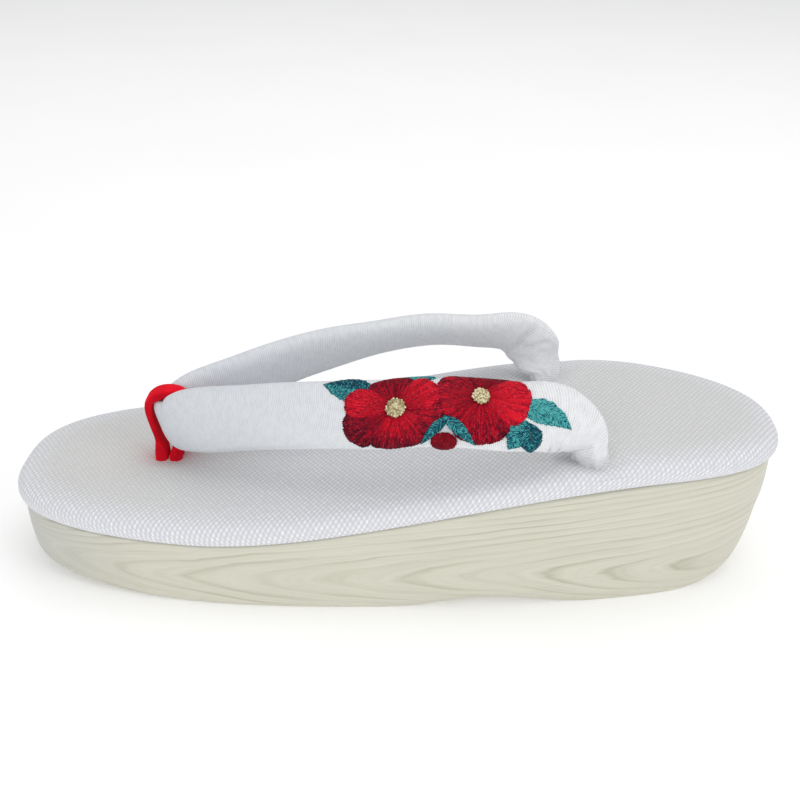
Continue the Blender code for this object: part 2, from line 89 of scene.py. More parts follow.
def seam_height(x):
    """Seam between base and footbed: low under the ball, a smooth climb to the heel, both ends falling by
    the square of the share. Places are shares of half the length."""
    place = x / HALF_LENGTH
    toe_share = np.clip((TOE_DROP_FROM - place) / (1.0 + TOE_DROP_FROM), 0.0, None)
    heel_share = np.clip((place - HEEL_DROP_FROM) / (1.0 - HEEL_DROP_FROM), 0.0, None)
    ends = TOE_DROP * toe_share ** 2 + HEEL_DROP * heel_share ** 2
    climb = smooth_climb(SEAM_CLIMB_FROM, SEAM_CLIMB_TO, place)
    return FOREFOOT_SEAM + (HEEL_SEAM - FOREFOOT_SEAM) * climb - ends


def end_lift(x, tip, run, lift):
    """Quarter ellipse that lifts the underside by lift over run, up to the tip."""
    share = np.clip((x - (tip - run)) / run, 0.0, 1.0)
    return lift * (1.0 - np.sqrt(1.0 - share ** 2))


def underside_height(x):
    """Flat forefoot and heel, with the toe spring, the heel lift and a squared cosine for the arch."""
    toe = end_lift(-x, HALF_LENGTH - TOE_TUCK, TOE_SPRING_RUN, TOE_SPRING)
    heel = end_lift(x, HALF_LENGTH - HEEL_TUCK, HEEL_LIFT_RUN, HEEL_LIFT)
    arch_place = np.clip((x - ARCH_CENTRE) / ARCH_HALF_LENGTH, -1.0, 1.0)
    return toe + heel + ARCH_RISE * np.cos(arch_place * math.pi / 2.0) ** 2


def signed_power(value, power):
    """Power of a number's size, with its sign kept."""
    return np.sign(value) * np.abs(value) ** power


def outline(turn, side_out, toe_out, heel_out):
    """Plan of the sole at an angle: powers of the cosine and the sine give a superellipse, fuller at the
    toe, on a half width that narrows smoothly from ball to heel."""
    along = np.round(np.cos(turn), 9)
    across = np.round(np.sin(turn), 9)
    power = 2.0 / np.where(along < 0.0, TOE_ROUNDNESS, HEEL_ROUNDNESS)
    place = signed_power(along, power)
    half_length = HALF_LENGTH + np.where(along < 0.0, toe_out, heel_out)
    narrowing = smooth_climb(NARROWS_FROM, NARROWS_TO, place)
    half_width = BALL_HALF_WIDTH + (HEEL_HALF_WIDTH - BALL_HALF_WIDTH) * narrowing + side_out
    return place * half_length, -signed_power(across, power) * half_width


def full_turn(count):
    """Angles of points set evenly round a circle."""
    return np.arange(count) * 2.0 * math.pi / count


def running_length(points):
    """Distance travelled along a line of points: the sum of the steps so far."""
    steps = np.linalg.norm(np.diff(points, axis=0), axis=1)
    return np.concatenate(((0.0,), np.cumsum(steps)))


def add_surface(name, grids, material, **attributes):
    """One mesh from equal grids of points (count, rows, columns, 3). Each cell is a face, the last column
    joins the first, and points that coincide at poles and middle lines are welded."""
    count, rows, cols = grids.shape[:3]
    index = np.arange(count * rows * cols).reshape(count, rows, cols)
    index = np.concatenate((index, index[:, :, :1]), axis=2)
    corners = (index[:, :-1, :-1], index[:, :-1, 1:], index[:, 1:, 1:], index[:, 1:, :-1])
    faces = np.stack(corners, axis=-1).reshape(-1, 4)
    mesh = bpy.data.meshes.new(name)
    mesh.from_pydata(grids.reshape(-1, 3).tolist(), [], faces.tolist())
    for label, values in attributes.items():
        layer = mesh.attributes.new(label, "FLOAT_VECTOR", "POINT")
        layer.data.foreach_set("vector", np.ascontiguousarray(values, dtype=np.float32).ravel())
    welded = bmesh.new()
    welded.from_mesh(mesh)
    bmesh.ops.remove_doubles(welded, verts=welded.verts, dist=0.002 * MM)
    bmesh.ops.dissolve_degenerate(welded, edges=welded.edges, dist=0.001 * MM)
    bmesh.ops.recalc_face_normals(welded, faces=welded.faces)
    welded.to_mesh(mesh)
    welded.free()
    mesh.shade_smooth()
    mesh.materials.append(material)
    piece = bpy.data.objects.new(name, mesh)
    bpy.context.scene.collection.objects.link(piece)
    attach(piece, "root")
    return piece


def node(tree, kind, inputs=None, **settings):
    """Shader node with its settings, and its inputs by name or number as plain values or links."""
    made = tree.nodes.new(kind)
    for key, value in settings.items():
        setattr(made, key, value)
    for key, value in (inputs or {}).items():
        if isinstance(value, bpy.types.NodeSocket):
            tree.links.new(value, made.inputs[key])
        else:
            made.inputs[key].default_value = value
    return made


def calc(tree, operation, first, second=0.0, third=0.0):
    """Result of one Math node."""
    return node(tree, "ShaderNodeMath", {0: first, 1: second, 2: third}, operation=operation).outputs[0]


def rescale(tree, value, low, high, to_low=0.0, to_high=1.0):
    """Value carried from one range to another and held at its ends."""
    return node(tree, "ShaderNodeMapRange", {0: value, 1: low, 2: high, 3: to_low, 4: to_high}).outputs[0]


def blend(tree, share, first, second, kind="MIX"):
    """Share of a second colour laid over a first."""
    inputs = {0: share, 6: first, 7: second}
    return node(tree, "ShaderNodeMix", inputs, data_type="RGBA", blend_type=kind).outputs[2]


def ramp(tree, factor, stops):
    """Colour read off a ramp with (place, colour) stops."""
    made = node(tree, "ShaderNodeValToRGB", {"Fac": factor})
    elements = made.color_ramp.elements
    elements[0].position, elements[1].position = stops[0][0], stops[-1][0]
    elements[0].color, elements[1].color = (*stops[0][1], 1.0), (*stops[-1][1], 1.0)
    for place, colour in stops[1:-1]:
        elements.new(place).color = (*colour, 1.0)
    return made.outputs["Color"]


def attribute(tree, name):
    """The three numbers of a named attribute of the piece, as a vector and apart."""
    read = node(tree, "ShaderNodeAttribute", attribute_name=name)
    parts = node(tree, "ShaderNodeSeparateXYZ", {0: read.outputs["Vector"]})
    return read.outputs["Vector"], parts.outputs[0], parts.outputs[1], parts.outputs[2]


def noise(tree, x, y, z, detail=2.0, roughness=0.5):
    """Noise from 0 to 1 at a place made of three numbers, each given plain or as a (number, scale) pair."""
    parts = [calc(tree, "MULTIPLY", *part) if isinstance(part, tuple) else part for part in (x, y, z)]
    place = node(tree, "ShaderNodeCombineXYZ", dict(enumerate(parts))).outputs[0]
    inputs = {"Vector": place, "Scale": 1.0, "Detail": detail, "Roughness": roughness}
    return node(tree, "ShaderNodeTexNoise", inputs, noise_dimensions="3D").outputs["Fac"]


def new_finish(name, **plain):
    """Material with its Principled shader, plain values set on the shader's own sockets."""
    material = bpy.data.materials.new(name)
    material.use_nodes = True
    shader = material.node_tree.nodes["Principled BSDF"]
    for key, value in plain.items():
        shader.inputs[key.replace("_", " ")].default_value = value
    return material, material.node_tree, shader


def set_bump(tree, shader, height, strength, distance):
    """Bump of a height from 0 to 1 that stands for distance in metres."""
    inputs = {"Height": height, "Strength": strength, "Distance": distance}
    bump = node(tree, "ShaderNodeBump", inputs)
    tree.links.new(bump.outputs["Normal"], shader.inputs["Normal"])


GRAIN_TIPS = (-150, -128, -106, -85, -60, -41, -18, 4, 26, 46, 64, 88, 130, 175, 220)
GRAIN_HEIGHT = 12.0 * MM
GRAIN_TIP_ROUND = 3.2 * MM
GRAIN_SPACING = 3.5 * MM
GRAIN_CROWDING = 1.17
GRAIN_WAVE = 0.8 * MM
GRAIN_WAVE_RUN = 31 * MM
INNER_SHIFT = 0.9
INNER_SWING = 0.7
INNER_SWING_RUN = 27 * MM
TOE_FADE_FROM = -75 * MM
TOE_FADE_TO = -118 * MM
TOE_LINES = 3.0
TOE_LINES_FROM = 14.5 * MM
TOE_LINES_TO = 20.5 * MM
WOOD_GROUND = (0.635, 0.62, 0.52)
WOOD_TONES = (
    (0.00, (0.59, 0.575, 0.465)),
    (0.08, (0.43, 0.42, 0.31)),
    (0.20, (0.52, 0.507, 0.395)),
    (0.42, (0.61, 0.597, 0.495)),
    (0.65, WOOD_GROUND),
    (0.90, (0.655, 0.642, 0.55)),
    (1.00, (0.59, 0.575, 0.465)),
)
# Painted shade at the toe, which faces away from the light.
TOE_SHADE_TINT = (0.83, 0.85, 0.93)
PLAIN = (1.0, 1.0, 1.0)


def base_surface():
    """Rings from the middle line of the top over the rim, down the wall, which leans in more where it is
    higher, and to the middle line of the underside; height runs from seam to underside by the share of
    the drop. Grain rings are hyperbolas that point to the toe: a count of tips along the wall less a
    power of the rounded distance over or under the tips' line, shifted from the outer side to the inner."""
    turn = full_turn(OUTLINE_POINTS)
    inward = np.arange(MIDDLE_ROWS) / MIDDLE_ROWS
    wall = 1.0 - (1.0 - np.linspace(0.0, 1.0, WALL_ROWS)) ** WALL_CROWDING
    spread = np.concatenate((inward, np.ones(len(wall)), inward[::-1]))[:, None]
    drop = np.concatenate((np.zeros(len(inward)), wall, np.ones(len(inward))))[:, None]
    edge = np.clip((drop - FLOOR_EDGE_FROM) / (1.0 - FLOOR_EDGE_FROM), 0.0, 1.0) ** 3
    top_x, top_y = outline(np.append(turn, 2.0 * math.pi), 0.0, 0.0, 0.0)
    draft = WALL_DRAFT + WALL_LEAN * (seam_height(top_x[:-1]) - FOREFOOT_SEAM)
    side_in = draft * drop + FLOOR_EDGE_ROUND * edge
    x, y = outline(turn[None], -side_in, -TOE_TUCK * drop ** 3, -HEEL_TUCK * drop ** 3)
    z = seam_height(x) * (1.0 - drop) + underside_height(x) * drop
    points = np.stack((x, y * spread, z), axis=-1)
    travel = running_length(np.column_stack((top_x, top_y)))
    quarter = OUTLINE_POINTS // 4
    along = travel[quarter] - np.minimum(travel, travel[-1] - travel)[:-1]
    along = np.broadcast_to(along + top_x[quarter], x.shape)
    over = z - GRAIN_HEIGHT - GRAIN_WAVE * np.sin(along / GRAIN_WAVE_RUN + 1.0)
    rings = np.interp(along, np.array(GRAIN_TIPS) * MM, np.arange(len(GRAIN_TIPS)))
    rings = rings - ((np.hypot(over, GRAIN_TIP_ROUND) - GRAIN_TIP_ROUND) / GRAIN_SPACING) ** GRAIN_CROWDING
    inner = smooth_climb(-BALL_HALF_WIDTH, BALL_HALF_WIDTH, y)
    rings = rings + inner * (INNER_SHIFT + INNER_SWING * np.sin(along / INNER_SWING_RUN))
    return points, np.stack((rings, along, z), axis=-1)


def wood_finish():
    """Pale wood: soft arcs of late wood on a warm ground, broken into streaks that follow them. At the toe
    the arcs fade and lines crowd under the seam, and the wood is greyer there, painted shade on the end that
    faces away from the light. A satin coat lies over it."""
    material, tree, shader = new_finish("pale_wood", Coat_Weight=0.08, Coat_Roughness=0.4)
    rings, along, height = attribute(tree, "grain")[1:]
    place = node(tree, "ShaderNodeTexCoord").outputs["Object"]
    depth = calc(tree, "MULTIPLY", node(tree, "ShaderNodeSeparateXYZ", {0: place}).outputs[1], 18.0)
    sway = noise(tree, (along, 16.0), (height, 45.0), depth)
    waver = noise(tree, (along, 70.0), (height, 330.0), depth, 3.0)
    bent = calc(tree, "MULTIPLY_ADD", sway, 1.3, calc(tree, "SUBTRACT", rings, 0.85))
    bent = calc(tree, "MULTIPLY_ADD", waver, 0.42, bent)
    plain_toe = rescale(tree, along, TOE_FADE_TO, TOE_FADE_FROM, 0.3, 1.0)
    by_seam = rescale(tree, height, TOE_LINES_FROM, TOE_LINES_TO)
    at_toe = calc(tree, "MULTIPLY", by_seam, calc(tree, "SUBTRACT", 1.0, plain_toe))
    bent = calc(tree, "MULTIPLY_ADD", at_toe, -TOE_LINES, bent)
    strength = noise(tree, (along, 32.0), (bent, 2.1), depth)
    strength = rescale(tree, strength, 0.38, 0.68, 0.03, 0.80)
    strength = calc(tree, "MULTIPLY_ADD", strength, plain_toe, at_toe)
    tone = ramp(tree, calc(tree, "FRACT", bent), WOOD_TONES)
    lined = blend(tree, strength, (*WOOD_GROUND, 1.0), tone)
    streak = noise(tree, (along, 26.0), (bent, 5.5), depth, 4.0, 0.6)
    streak = rescale(tree, streak, 0.3, 0.7, 0.925, 1.035)
    hair = noise(tree, (along, 70.0), (height, 1900.0), depth, 3.0)
    hair = rescale(tree, hair, 0.3, 0.7, 0.975, 1.02)
    fibre = calc(tree, "MULTIPLY", streak, hair)
    # Painted shade: greyer and bluer towards the toe.
    toe_shade = ramp(tree, plain_toe, ((0.3, TOE_SHADE_TINT), (1.0, PLAIN)))
    colour = blend(tree, 1.0, blend(tree, 1.0, lined, fibre, "MULTIPLY"), toe_shade, "MULTIPLY")
    tree.links.new(colour, shader.inputs["Base Color"])
    tree.links.new(rescale(tree, fibre, 0.90, 1.05, 0.52, 0.42), shader.inputs["Roughness"])
    set_bump(tree, shader, fibre, 0.2, 0.1 * MM)
    return material


points, grain = base_surface()
base = add_surface("base", points[None], wood_finish(), grain=grain[None])
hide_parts("sole_block")

# Footbed
# A sheet of foam under white cloth in a staggered basket weave. The cloth is pulled over the rim, which
# rolls out past the base, and is tucked and glued under it. It dips where strap and thong go through.
FIT_GAP = 0.3 * MM
FOOTBED_THICKNESS = 7.8 * MM
OUTER_FOOT_X = 58.5 * MM
INNER_FOOT_X = 50.2 * MM
STRAP_FOOT_SIDE = 29.4 * MM
STRAP_FOOT_LEAN = math.radians(50)
THONG_HOLE_X = -72.5 * MM
RIM_ROWS = (
    dict(out=-0.6, up=0.0),
    dict(out=0.8, up=0.6),
    dict(out=1.6, up=2.0),
    dict(out=1.8, up=3.6),
    dict(out=1.3, up=5.3),
    dict(out=-0.4, up=6.7),
    dict(out=-3.5, up=7.4),
    dict(out=-10.0, up=7.7),
    dict(out=-22.0, up=7.8),
)
STRAP_HOLE = dict(half_wide=6.4, half_thick=4.1, depth=1.6)
HOLE_ROWS = (
    dict(x=OUTER_FOOT_X, y=-STRAP_FOOT_SIDE, lean=-STRAP_FOOT_LEAN, **STRAP_HOLE),
    dict(x=INNER_FOOT_X, y=STRAP_FOOT_SIDE, lean=STRAP_FOOT_LEAN, **STRAP_HOLE),
    dict(x=THONG_HOLE_X, y=0.0, lean=0.0, half_wide=4.4, half_thick=4.0, depth=0.7),
)
DIP_REACH = 3.2 * MM
DIPS_ABOVE = 5.0 * MM
UNDER_ROWS = 3
TOP_ROWS = 30
HALF_SPAN = 40 * MM
WEAVE_ALONG = 1.65 * MM
WEAVE_ACROSS = 2.6 * MM
# Painted shade on the top of the footbed, which gets less light than the rim; it fades in from the rim.
TOP_SHADE_WANDER = 6 * MM
TOP_SHADE_FROM = 3 * MM
TOP_SHADE_TO = 13 * MM
# Painted light under the strap: the top's painted shade is lessened there, against the strap's shadow.
UNDER_STRAP_LIGHT_X = -2 * MM
UNDER_STRAP_LIGHT_FROM = 75 * MM
UNDER_STRAP_LIGHT_TO = 25 * MM
# Rim and top copies of the cloth's colours: the top ones carry painted shade.
RIM_BEAD = (0.91, 0.917, 0.945)
TOP_BEAD_SHADED = (0.74, 0.747, 0.738)
RIM_GROUND = (0.62, 0.628, 0.66)
TOP_GROUND_SHADED = (0.595, 0.602, 0.596)


def footbed_height(x):
    """Top of the footbed: the seam, the glue gap and the foam's thickness."""
    return seam_height(x) + FIT_GAP + FOOTBED_THICKNESS


def columns(table, *names):
    """Named columns of a table as arrays."""
    return np.array([[row[name] for name in names] for row in table], dtype=float).T


def smooth_curve(rows, steps):
    """Catmull-Rom curve: on each span between two rows the cubic whose end slopes are half of the
    difference between the rows on either side, with steps points for each span."""
    rows = np.asarray(rows, dtype=float)
    padded = np.vstack((2.0 * rows[0] - rows[1], rows, 2.0 * rows[-1] - rows[-2]))
    before, start, end, after = (padded[first:first + len(rows) - 1, None] for first in range(4))
    t = (np.arange(steps) / steps)[None, :, None]
    spans = 0.5 * (2.0 * start + (end - before) * t
                   + (2.0 * before - 5.0 * start + 4.0 * end - after) * t ** 2
                   + (3.0 * start - before - 3.0 * end + after) * t ** 3)
    return np.vstack((spans.reshape(-1, rows.shape[1]), rows[-1:]))


def hole_dips(x, y):
    """Depth by which the cloth dips into the holes: full inside each oval, which is turned by its lean, and
    a bell curve of the distance outside it."""
    depth = np.zeros(x.shape)
    for hole in HOLE_ROWS:
        right, up = x - hole["x"], y - hole["y"]
        wide = (right * math.cos(hole["lean"]) + up * math.sin(hole["lean"])) / (hole["half_wide"] * MM)
        thick = (up * math.cos(hole["lean"]) - right * math.sin(hole["lean"])) / (hole["half_thick"] * MM)
        away = np.clip(np.hypot(wide, thick) - 1.0, 0.0, None) * hole["half_thick"] * MM / DIP_REACH
        depth = np.maximum(depth, hole["depth"] * MM * np.exp(-away ** 2))
    return depth


def footbed_surface():
    """Rings from the middle of the underside round the rolled rim and in to the middle line of the top.
    The cloth's own flat coordinates are the plan with the roll laid out flat, and the distance in from
    the rim."""
    turn = full_turn(OUTLINE_POINTS)
    profile = smooth_curve(columns(RIM_ROWS, "out", "up").T * MM, 7)
    inward = np.linspace(1.0, 0.0, TOP_ROWS)[1:]
    under = np.arange(UNDER_ROWS) / UNDER_ROWS
    ends = ((len(under), len(inward)), (0, 0))
    out, up = np.pad(profile, ends, mode="edge").T[:, :, None]
    spread = np.concatenate((under, np.ones(len(profile)), inward))[:, None]
    flat = profile[-1, 0] + running_length(profile)[-1] - running_length(profile)
    flat = np.pad(flat, ends[0], mode="edge")[:, None]
    x, y = outline(turn[None], out, out, out)
    y = y * spread
    z = seam_height(x) + FIT_GAP + up - hole_dips(x, y) * (up > DIPS_ABOVE)
    cloth_x, cloth_y = outline(turn[None], flat, flat, flat)
    inside = np.broadcast_to(HALF_SPAN * (1.0 - spread) - out, x.shape)
    return np.stack((x, y, z), axis=-1), np.stack((cloth_x, cloth_y * spread, inside), axis=-1)


def new_group(name, inputs, outputs):
    """Shader node group with named sockets of the given kinds, and what it is given and puts out."""
    group = bpy.data.node_groups.new(name, "ShaderNodeTree")
    for way, sockets in (("INPUT", inputs), ("OUTPUT", outputs)):
        for label, kind in sockets.items():
            group.interface.new_socket(label, in_out=way, socket_type="NodeSocket" + kind)
    return group, group.nodes.new("NodeGroupInput").outputs, group.nodes.new("NodeGroupOutput").inputs


def basket_weave_group():
    """Staggered lattice of cloth beads: the cosines of the sum and of the difference of two waves give
    raised beads that alternate from row to row, drawn out a little to one side. It puts out their height
    and the mask of their bright backs, which is weaker on some beads."""
    inputs = dict(Cloth="Vector", Along="Float", Across="Float")
    group, given, result = new_group("basket_weave", inputs, dict(Height="Float", Bead="Float"))
    x, y = node(group, "ShaderNodeSeparateXYZ", {0: given["Cloth"]}).outputs[:2]
    wander = noise(group, (x, 260.0), (y, 260.0), 0.0)
    x_turn = calc(group, "DIVIDE", calc(group, "MULTIPLY", x, 2.0 * math.pi), given["Along"])
    y_turn = calc(group, "DIVIDE", calc(group, "MULTIPLY", y, 2.0 * math.pi), given["Across"])
    x_turn = calc(group, "MULTIPLY_ADD", wander, 1.3, x_turn)
    y_turn = calc(group, "MULTIPLY_ADD", wander, 1.3, y_turn)
    rising = calc(group, "COSINE", calc(group, "SUBTRACT", x_turn, y_turn))
    falling = calc(group, "COSINE", calc(group, "ADD", x_turn, y_turn))
    height = calc(group, "MULTIPLY_ADD", falling, 0.21, calc(group, "MULTIPLY_ADD", rising, 0.29, 0.5))
    own = rescale(group, noise(group, (x, 700.0), (y, 450.0), 3.0), 0.3, 0.65, 0.35, 1.0)
    bead = calc(group, "MULTIPLY", rescale(group, height, 0.36, 0.92), own)
    group.links.new(height, result["Height"])
    group.links.new(bead, result["Bead"])
    return group


def place_group(tree, group, **inputs):
    """Results of a node group placed in a material with its own values."""
    return node(tree, "ShaderNodeGroup", inputs, node_tree=group).outputs


def footbed_finish():
    """White cloth: bright beads on a greyer ground, the ground's grey being painted shade in the hollows of
    the weave. The top is darker and warmer than the cooler rim, painted shade where less light falls, and
    that shade is lessened under the strap, painted light against the strap's shadow."""
    material, tree, shader = new_finish("basket_cloth", Roughness=0.85, Sheen_Weight=0.15,
                                        Sheen_Roughness=0.4)
    cloth, x, y, inside = attribute(tree, "cloth")
    weave = place_group(tree, basket_weave_group(), Cloth=cloth, Along=WEAVE_ALONG, Across=WEAVE_ACROSS)
    # Painted shade: darker from the rim in towards the top.
    slow = noise(tree, (x, 28.0), (y, 28.0), 1.0)
    top_shade = calc(tree, "MULTIPLY_ADD", slow, TOP_SHADE_WANDER, inside)
    top_shade = rescale(tree, top_shade, TOP_SHADE_FROM, TOP_SHADE_TO)
    # Painted light: less of the top's painted shade near the strap, against its shadow.
    from_strap = calc(tree, "ABSOLUTE", calc(tree, "SUBTRACT", x, UNDER_STRAP_LIGHT_X))
    top_shade_kept = rescale(tree, from_strap, UNDER_STRAP_LIGHT_TO, UNDER_STRAP_LIGHT_FROM, 0.25, 1.0)
    top_shade = calc(tree, "MULTIPLY", top_shade, top_shade_kept)
    bead = ramp(tree, top_shade, ((0.0, RIM_BEAD), (1.0, TOP_BEAD_SHADED)))
    ground = ramp(tree, top_shade, ((0.0, RIM_GROUND), (1.0, TOP_GROUND_SHADED)))
    # The greyer ground between the beads is painted shade in the hollows of the weave.
    tree.links.new(blend(tree, weave["Bead"], ground, bead), shader.inputs["Base Color"])
    set_bump(tree, shader, weave["Height"], 0.4, 0.22 * MM)
    return material


points, cloth = footbed_surface()
footbed = add_surface("footbed", points[None], footbed_finish(), cloth=cloth[None])
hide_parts("cushion")

# Strap
# One padded band of white ribbed cloth, sewn shut along its lower edge. It rises from the inner hole,
# lies over the foot to the nose of the V and goes back down into the outer hole, puckered at both ends.
NOSE_X = -72.4 * MM
STRAP_ROUNDNESS = 2.4
FACE_HALF_WIDTH = 10.5 * MM
FACE_HALF_THICK = 4.0 * MM
STRAP_STEPS = 16
STRAP_SECTION_POINTS = 80
STRAP_ROWS = (
    dict(reach=0.000, side=0.0, lift=13.9, width=13.6, thick=5.4, tilt=90, turn=-20),
    dict(reach=0.0248, side=4.4, lift=13.5, width=17.8, thick=7.2, tilt=88, turn=-12),
    dict(reach=0.0793, side=8.6, lift=16.7, width=20.4, thick=7.8, tilt=82, turn=0),
    dict(reach=0.188, side=14.0, lift=20.2, width=20.4, thick=8.0, tilt=74, turn=0),
    dict(reach=0.340, side=21.8, lift=23.1, width=20.1, thick=8.0, tilt=62, turn=0),
    dict(reach=0.5205, side=28.3, lift=22.9, width=20.6, thick=8.0, tilt=47, turn=0),
    dict(reach=0.672, side=31.3, lift=21.3, width=20.9, thick=8.0, tilt=42, turn=2),
    dict(reach=0.808, side=32.2, lift=17.2, width=21.0, thick=8.0, tilt=42, turn=8),
    dict(reach=0.897, side=32.0, lift=15.0, width=20.4, thick=8.2, tilt=50, turn=26),
    dict(reach=0.952, side=31.1, lift=10.3, width=18.6, thick=8.2, tilt=60, turn=55),
    dict(reach=0.988, side=30.1, lift=3.5, width=15.6, thick=7.9, tilt=16, turn=122),
    dict(reach=1.000, side=29.4, lift=-0.5, width=12.4, thick=7.9, tilt=10, turn=140),
    dict(reach=1.000, side=29.4, lift=-5.0, width=12.4, thick=7.9, tilt=10, turn=140),
)
STRAP_SUNK = 5.0 * MM
SWELL_HEIGHT = 0.16 * MM
SWELL_RUN = 6.1 * MM
SLOW_SWELL_RUN = 17 * MM
SEAM_ACROSS = -10.7 * MM
SEAM_DEPTH = 0.35 * MM
SEAM_HALF_WIDTH = 0.55 * MM
SEAM_HOLE_FADE = (4 * MM, 16 * MM)
SEAM_NOSE_FADE = (6 * MM, 14 * MM)
PUCKER_DEPTH = 0.42 * MM
PUCKER_REACH = 11 * MM
PUCKER_RUN = 2.2 * MM
FINE_PUCKER_RUN = 3.1 * MM
CREASE_ROWS = (
    dict(along=-124.2, lean=0.02, turn=164, spread=40, depth=1.90, half_width=0.8),
    dict(along=-128.3, lean=0.06, turn=168, spread=26, depth=1.30, half_width=0.75),
    dict(along=130.5, lean=-0.05, turn=296, spread=24, depth=1.00, half_width=0.7),
    dict(along=135.5, lean=-0.05, turn=306, spread=24, depth=1.10, half_width=0.7),
    dict(along=142.5, lean=-0.04, turn=350, spread=34, depth=1.10, half_width=0.8),
)
RIB_PITCH = 0.58 * MM
RIB_LEAN = 0.16
# Colours of the rib tops and of the painted shade in the grooves between the ribs.
RIB_TOP = (0.83, 0.837, 0.85)
RIB_GAP_SHADE = (0.61, 0.625, 0.65)
# Painted shade towards the nose, whose faces turn away from the light.
NOSE_SHADE = (0.84, 0.87, 0.90)
NOSE_SHADE_RUN = 120 * MM


def unit(vectors):
    """Vectors divided by their own lengths."""
    return vectors / np.linalg.norm(vectors, axis=-1, keepdims=True)


def both_arms(inner, outer):
    """Values from the inner hole up to the nose and on to the outer hole, with the nose once."""
    return np.concatenate((inner[:0:-1], outer))


def strap_path(steps):
    """Centres, axes and sizes of the band: a smooth curve through the rows of both arms; the wide axis
    leans by tilt and turn and is made square to the path, the thick axis is square to both."""
    reach, side, lift, width, thick, tilt, turn = columns(
        STRAP_ROWS, "reach", "side", "lift", "width", "thick", "tilt", "turn")
    x = both_arms(NOSE_X + (INNER_FOOT_X - NOSE_X) * reach, NOSE_X + (OUTER_FOOT_X - NOSE_X) * reach)
    rows = np.column_stack((
        x,
        both_arms(side, -side) * MM,
        footbed_height(x) + both_arms(lift, lift) * MM,
        both_arms(width, width) * MM,
        both_arms(thick, thick) * MM,
        np.radians(both_arms(180.0 - tilt, tilt)),
        np.radians(both_arms(turn, turn)),
    ))
    curve = smooth_curve(rows, steps)
    centres = curve[:, :3]
    widths, thicks, tilt, turn = curve[:, 3:].T
    along = unit(np.gradient(centres, axis=0))
    upright = np.column_stack((np.sin(turn), np.cos(turn) * np.cos(tilt), np.cos(turn) * np.sin(tilt)))
    wide_axes = unit(upright - along * np.sum(upright * along, axis=1, keepdims=True))
    return centres, wide_axes, np.cross(along, wide_axes), widths, thicks


def swept(centres, wide_axes, thick_axes, wide, thick):
    """Sections carried along a path: wide and thick are the distances along each section's two axes."""
    return centres[:, None] + wide_axes[:, None] * wide[..., None] + thick_axes[:, None] * thick[..., None]


def close_ends(points, centres):
    """Rings with a last ring at either end that shrinks to the section's centre."""
    first, last = (np.broadcast_to(centre, points[:1].shape) for centre in (centres[0], centres[-1]))
    return np.concatenate((first, points, last))


def repeat_ends(values):
    """Values of the rings with the first and last given once more, for the closed ends."""
    return np.concatenate((values[:1], values, values[-1:]))


def strap_surface():
    """Superellipse sections along the path. Over the plain band lie a trough along the lower seam, slow
    swells of the padding, puckers round the band that fade with the distance from the holes, and creases set
    where the band bends down: bell curves across a leaning line and along it."""
    centres, wide_axes, thick_axes, widths, thicks = strap_path(STRAP_STEPS)
    turn = full_turn(STRAP_SECTION_POINTS)
    wide = signed_power(np.sin(turn), 2.0 / STRAP_ROUNDNESS)
    thick = signed_power(np.cos(turn), 2.0 / STRAP_ROUNDNESS)
    section = np.column_stack((wide * FACE_HALF_WIDTH, thick * FACE_HALF_THICK))
    girth = running_length(section)
    half = girth[STRAP_SECTION_POINTS // 4]
    across = half * (2.0 / math.pi) * np.arcsin(np.sin(girth / half * math.pi / 2.0))
    widths, thicks = widths[:, None], thicks[:, None]
    points = swept(centres, wide_axes, thick_axes, wide * widths / 2.0, thick * thicks / 2.0)
    slope = STRAP_ROUNDNESS - 1.0
    outward = unit(wide_axes[:, None] * (signed_power(wide, slope) / widths)[..., None]
                   + thick_axes[:, None] * (signed_power(thick, slope) / thicks)[..., None])
    travel = running_length(centres)
    nose = (len(STRAP_ROWS) - 1) * STRAP_STEPS
    along = (travel - travel[nose])[:, None]
    to_hole = np.minimum(travel, travel[-1] - travel)[:, None] - STRAP_SUNK
    trough = SEAM_DEPTH * np.exp(-((across - SEAM_ACROSS) / SEAM_HALF_WIDTH) ** 2) * (thick > 0.0)
    trough = trough * smooth_climb(*SEAM_HOLE_FADE, to_hole) * smooth_climb(*SEAM_NOSE_FADE, np.abs(along))
    swell = np.sin(along / SWELL_RUN + 2.0 * np.sin(turn)) * np.cos(along / SLOW_SWELL_RUN + turn)
    fade = np.exp(-(np.clip(to_hole, 0.0, None) / PUCKER_REACH) ** 2)
    folds = 0.6 * np.cos(7.0 * turn + to_hole / PUCKER_RUN)
    folds = folds + 0.4 * np.cos(12.0 * turn - to_hole / FINE_PUCKER_RUN + 1.0)
    raised = SWELL_HEIGHT * swell - trough + PUCKER_DEPTH * fade * (folds - 0.3)
    for crease in CREASE_ROWS:
        off = (np.degrees(turn) - crease["turn"] + 180.0) % 360.0 - 180.0
        line = along / MM - crease["along"] - crease["lean"] * off
        bell = np.exp(-(line / crease["half_width"]) ** 2 - (off / crease["spread"]) ** 2)
        raised = raised - crease["depth"] * MM * bell
    points = points + outward * raised[..., None]
    cloth = np.stack(np.broadcast_arrays(along, across[None], 0.0 * along), axis=-1)
    return close_ends(points, centres), repeat_ends(cloth)


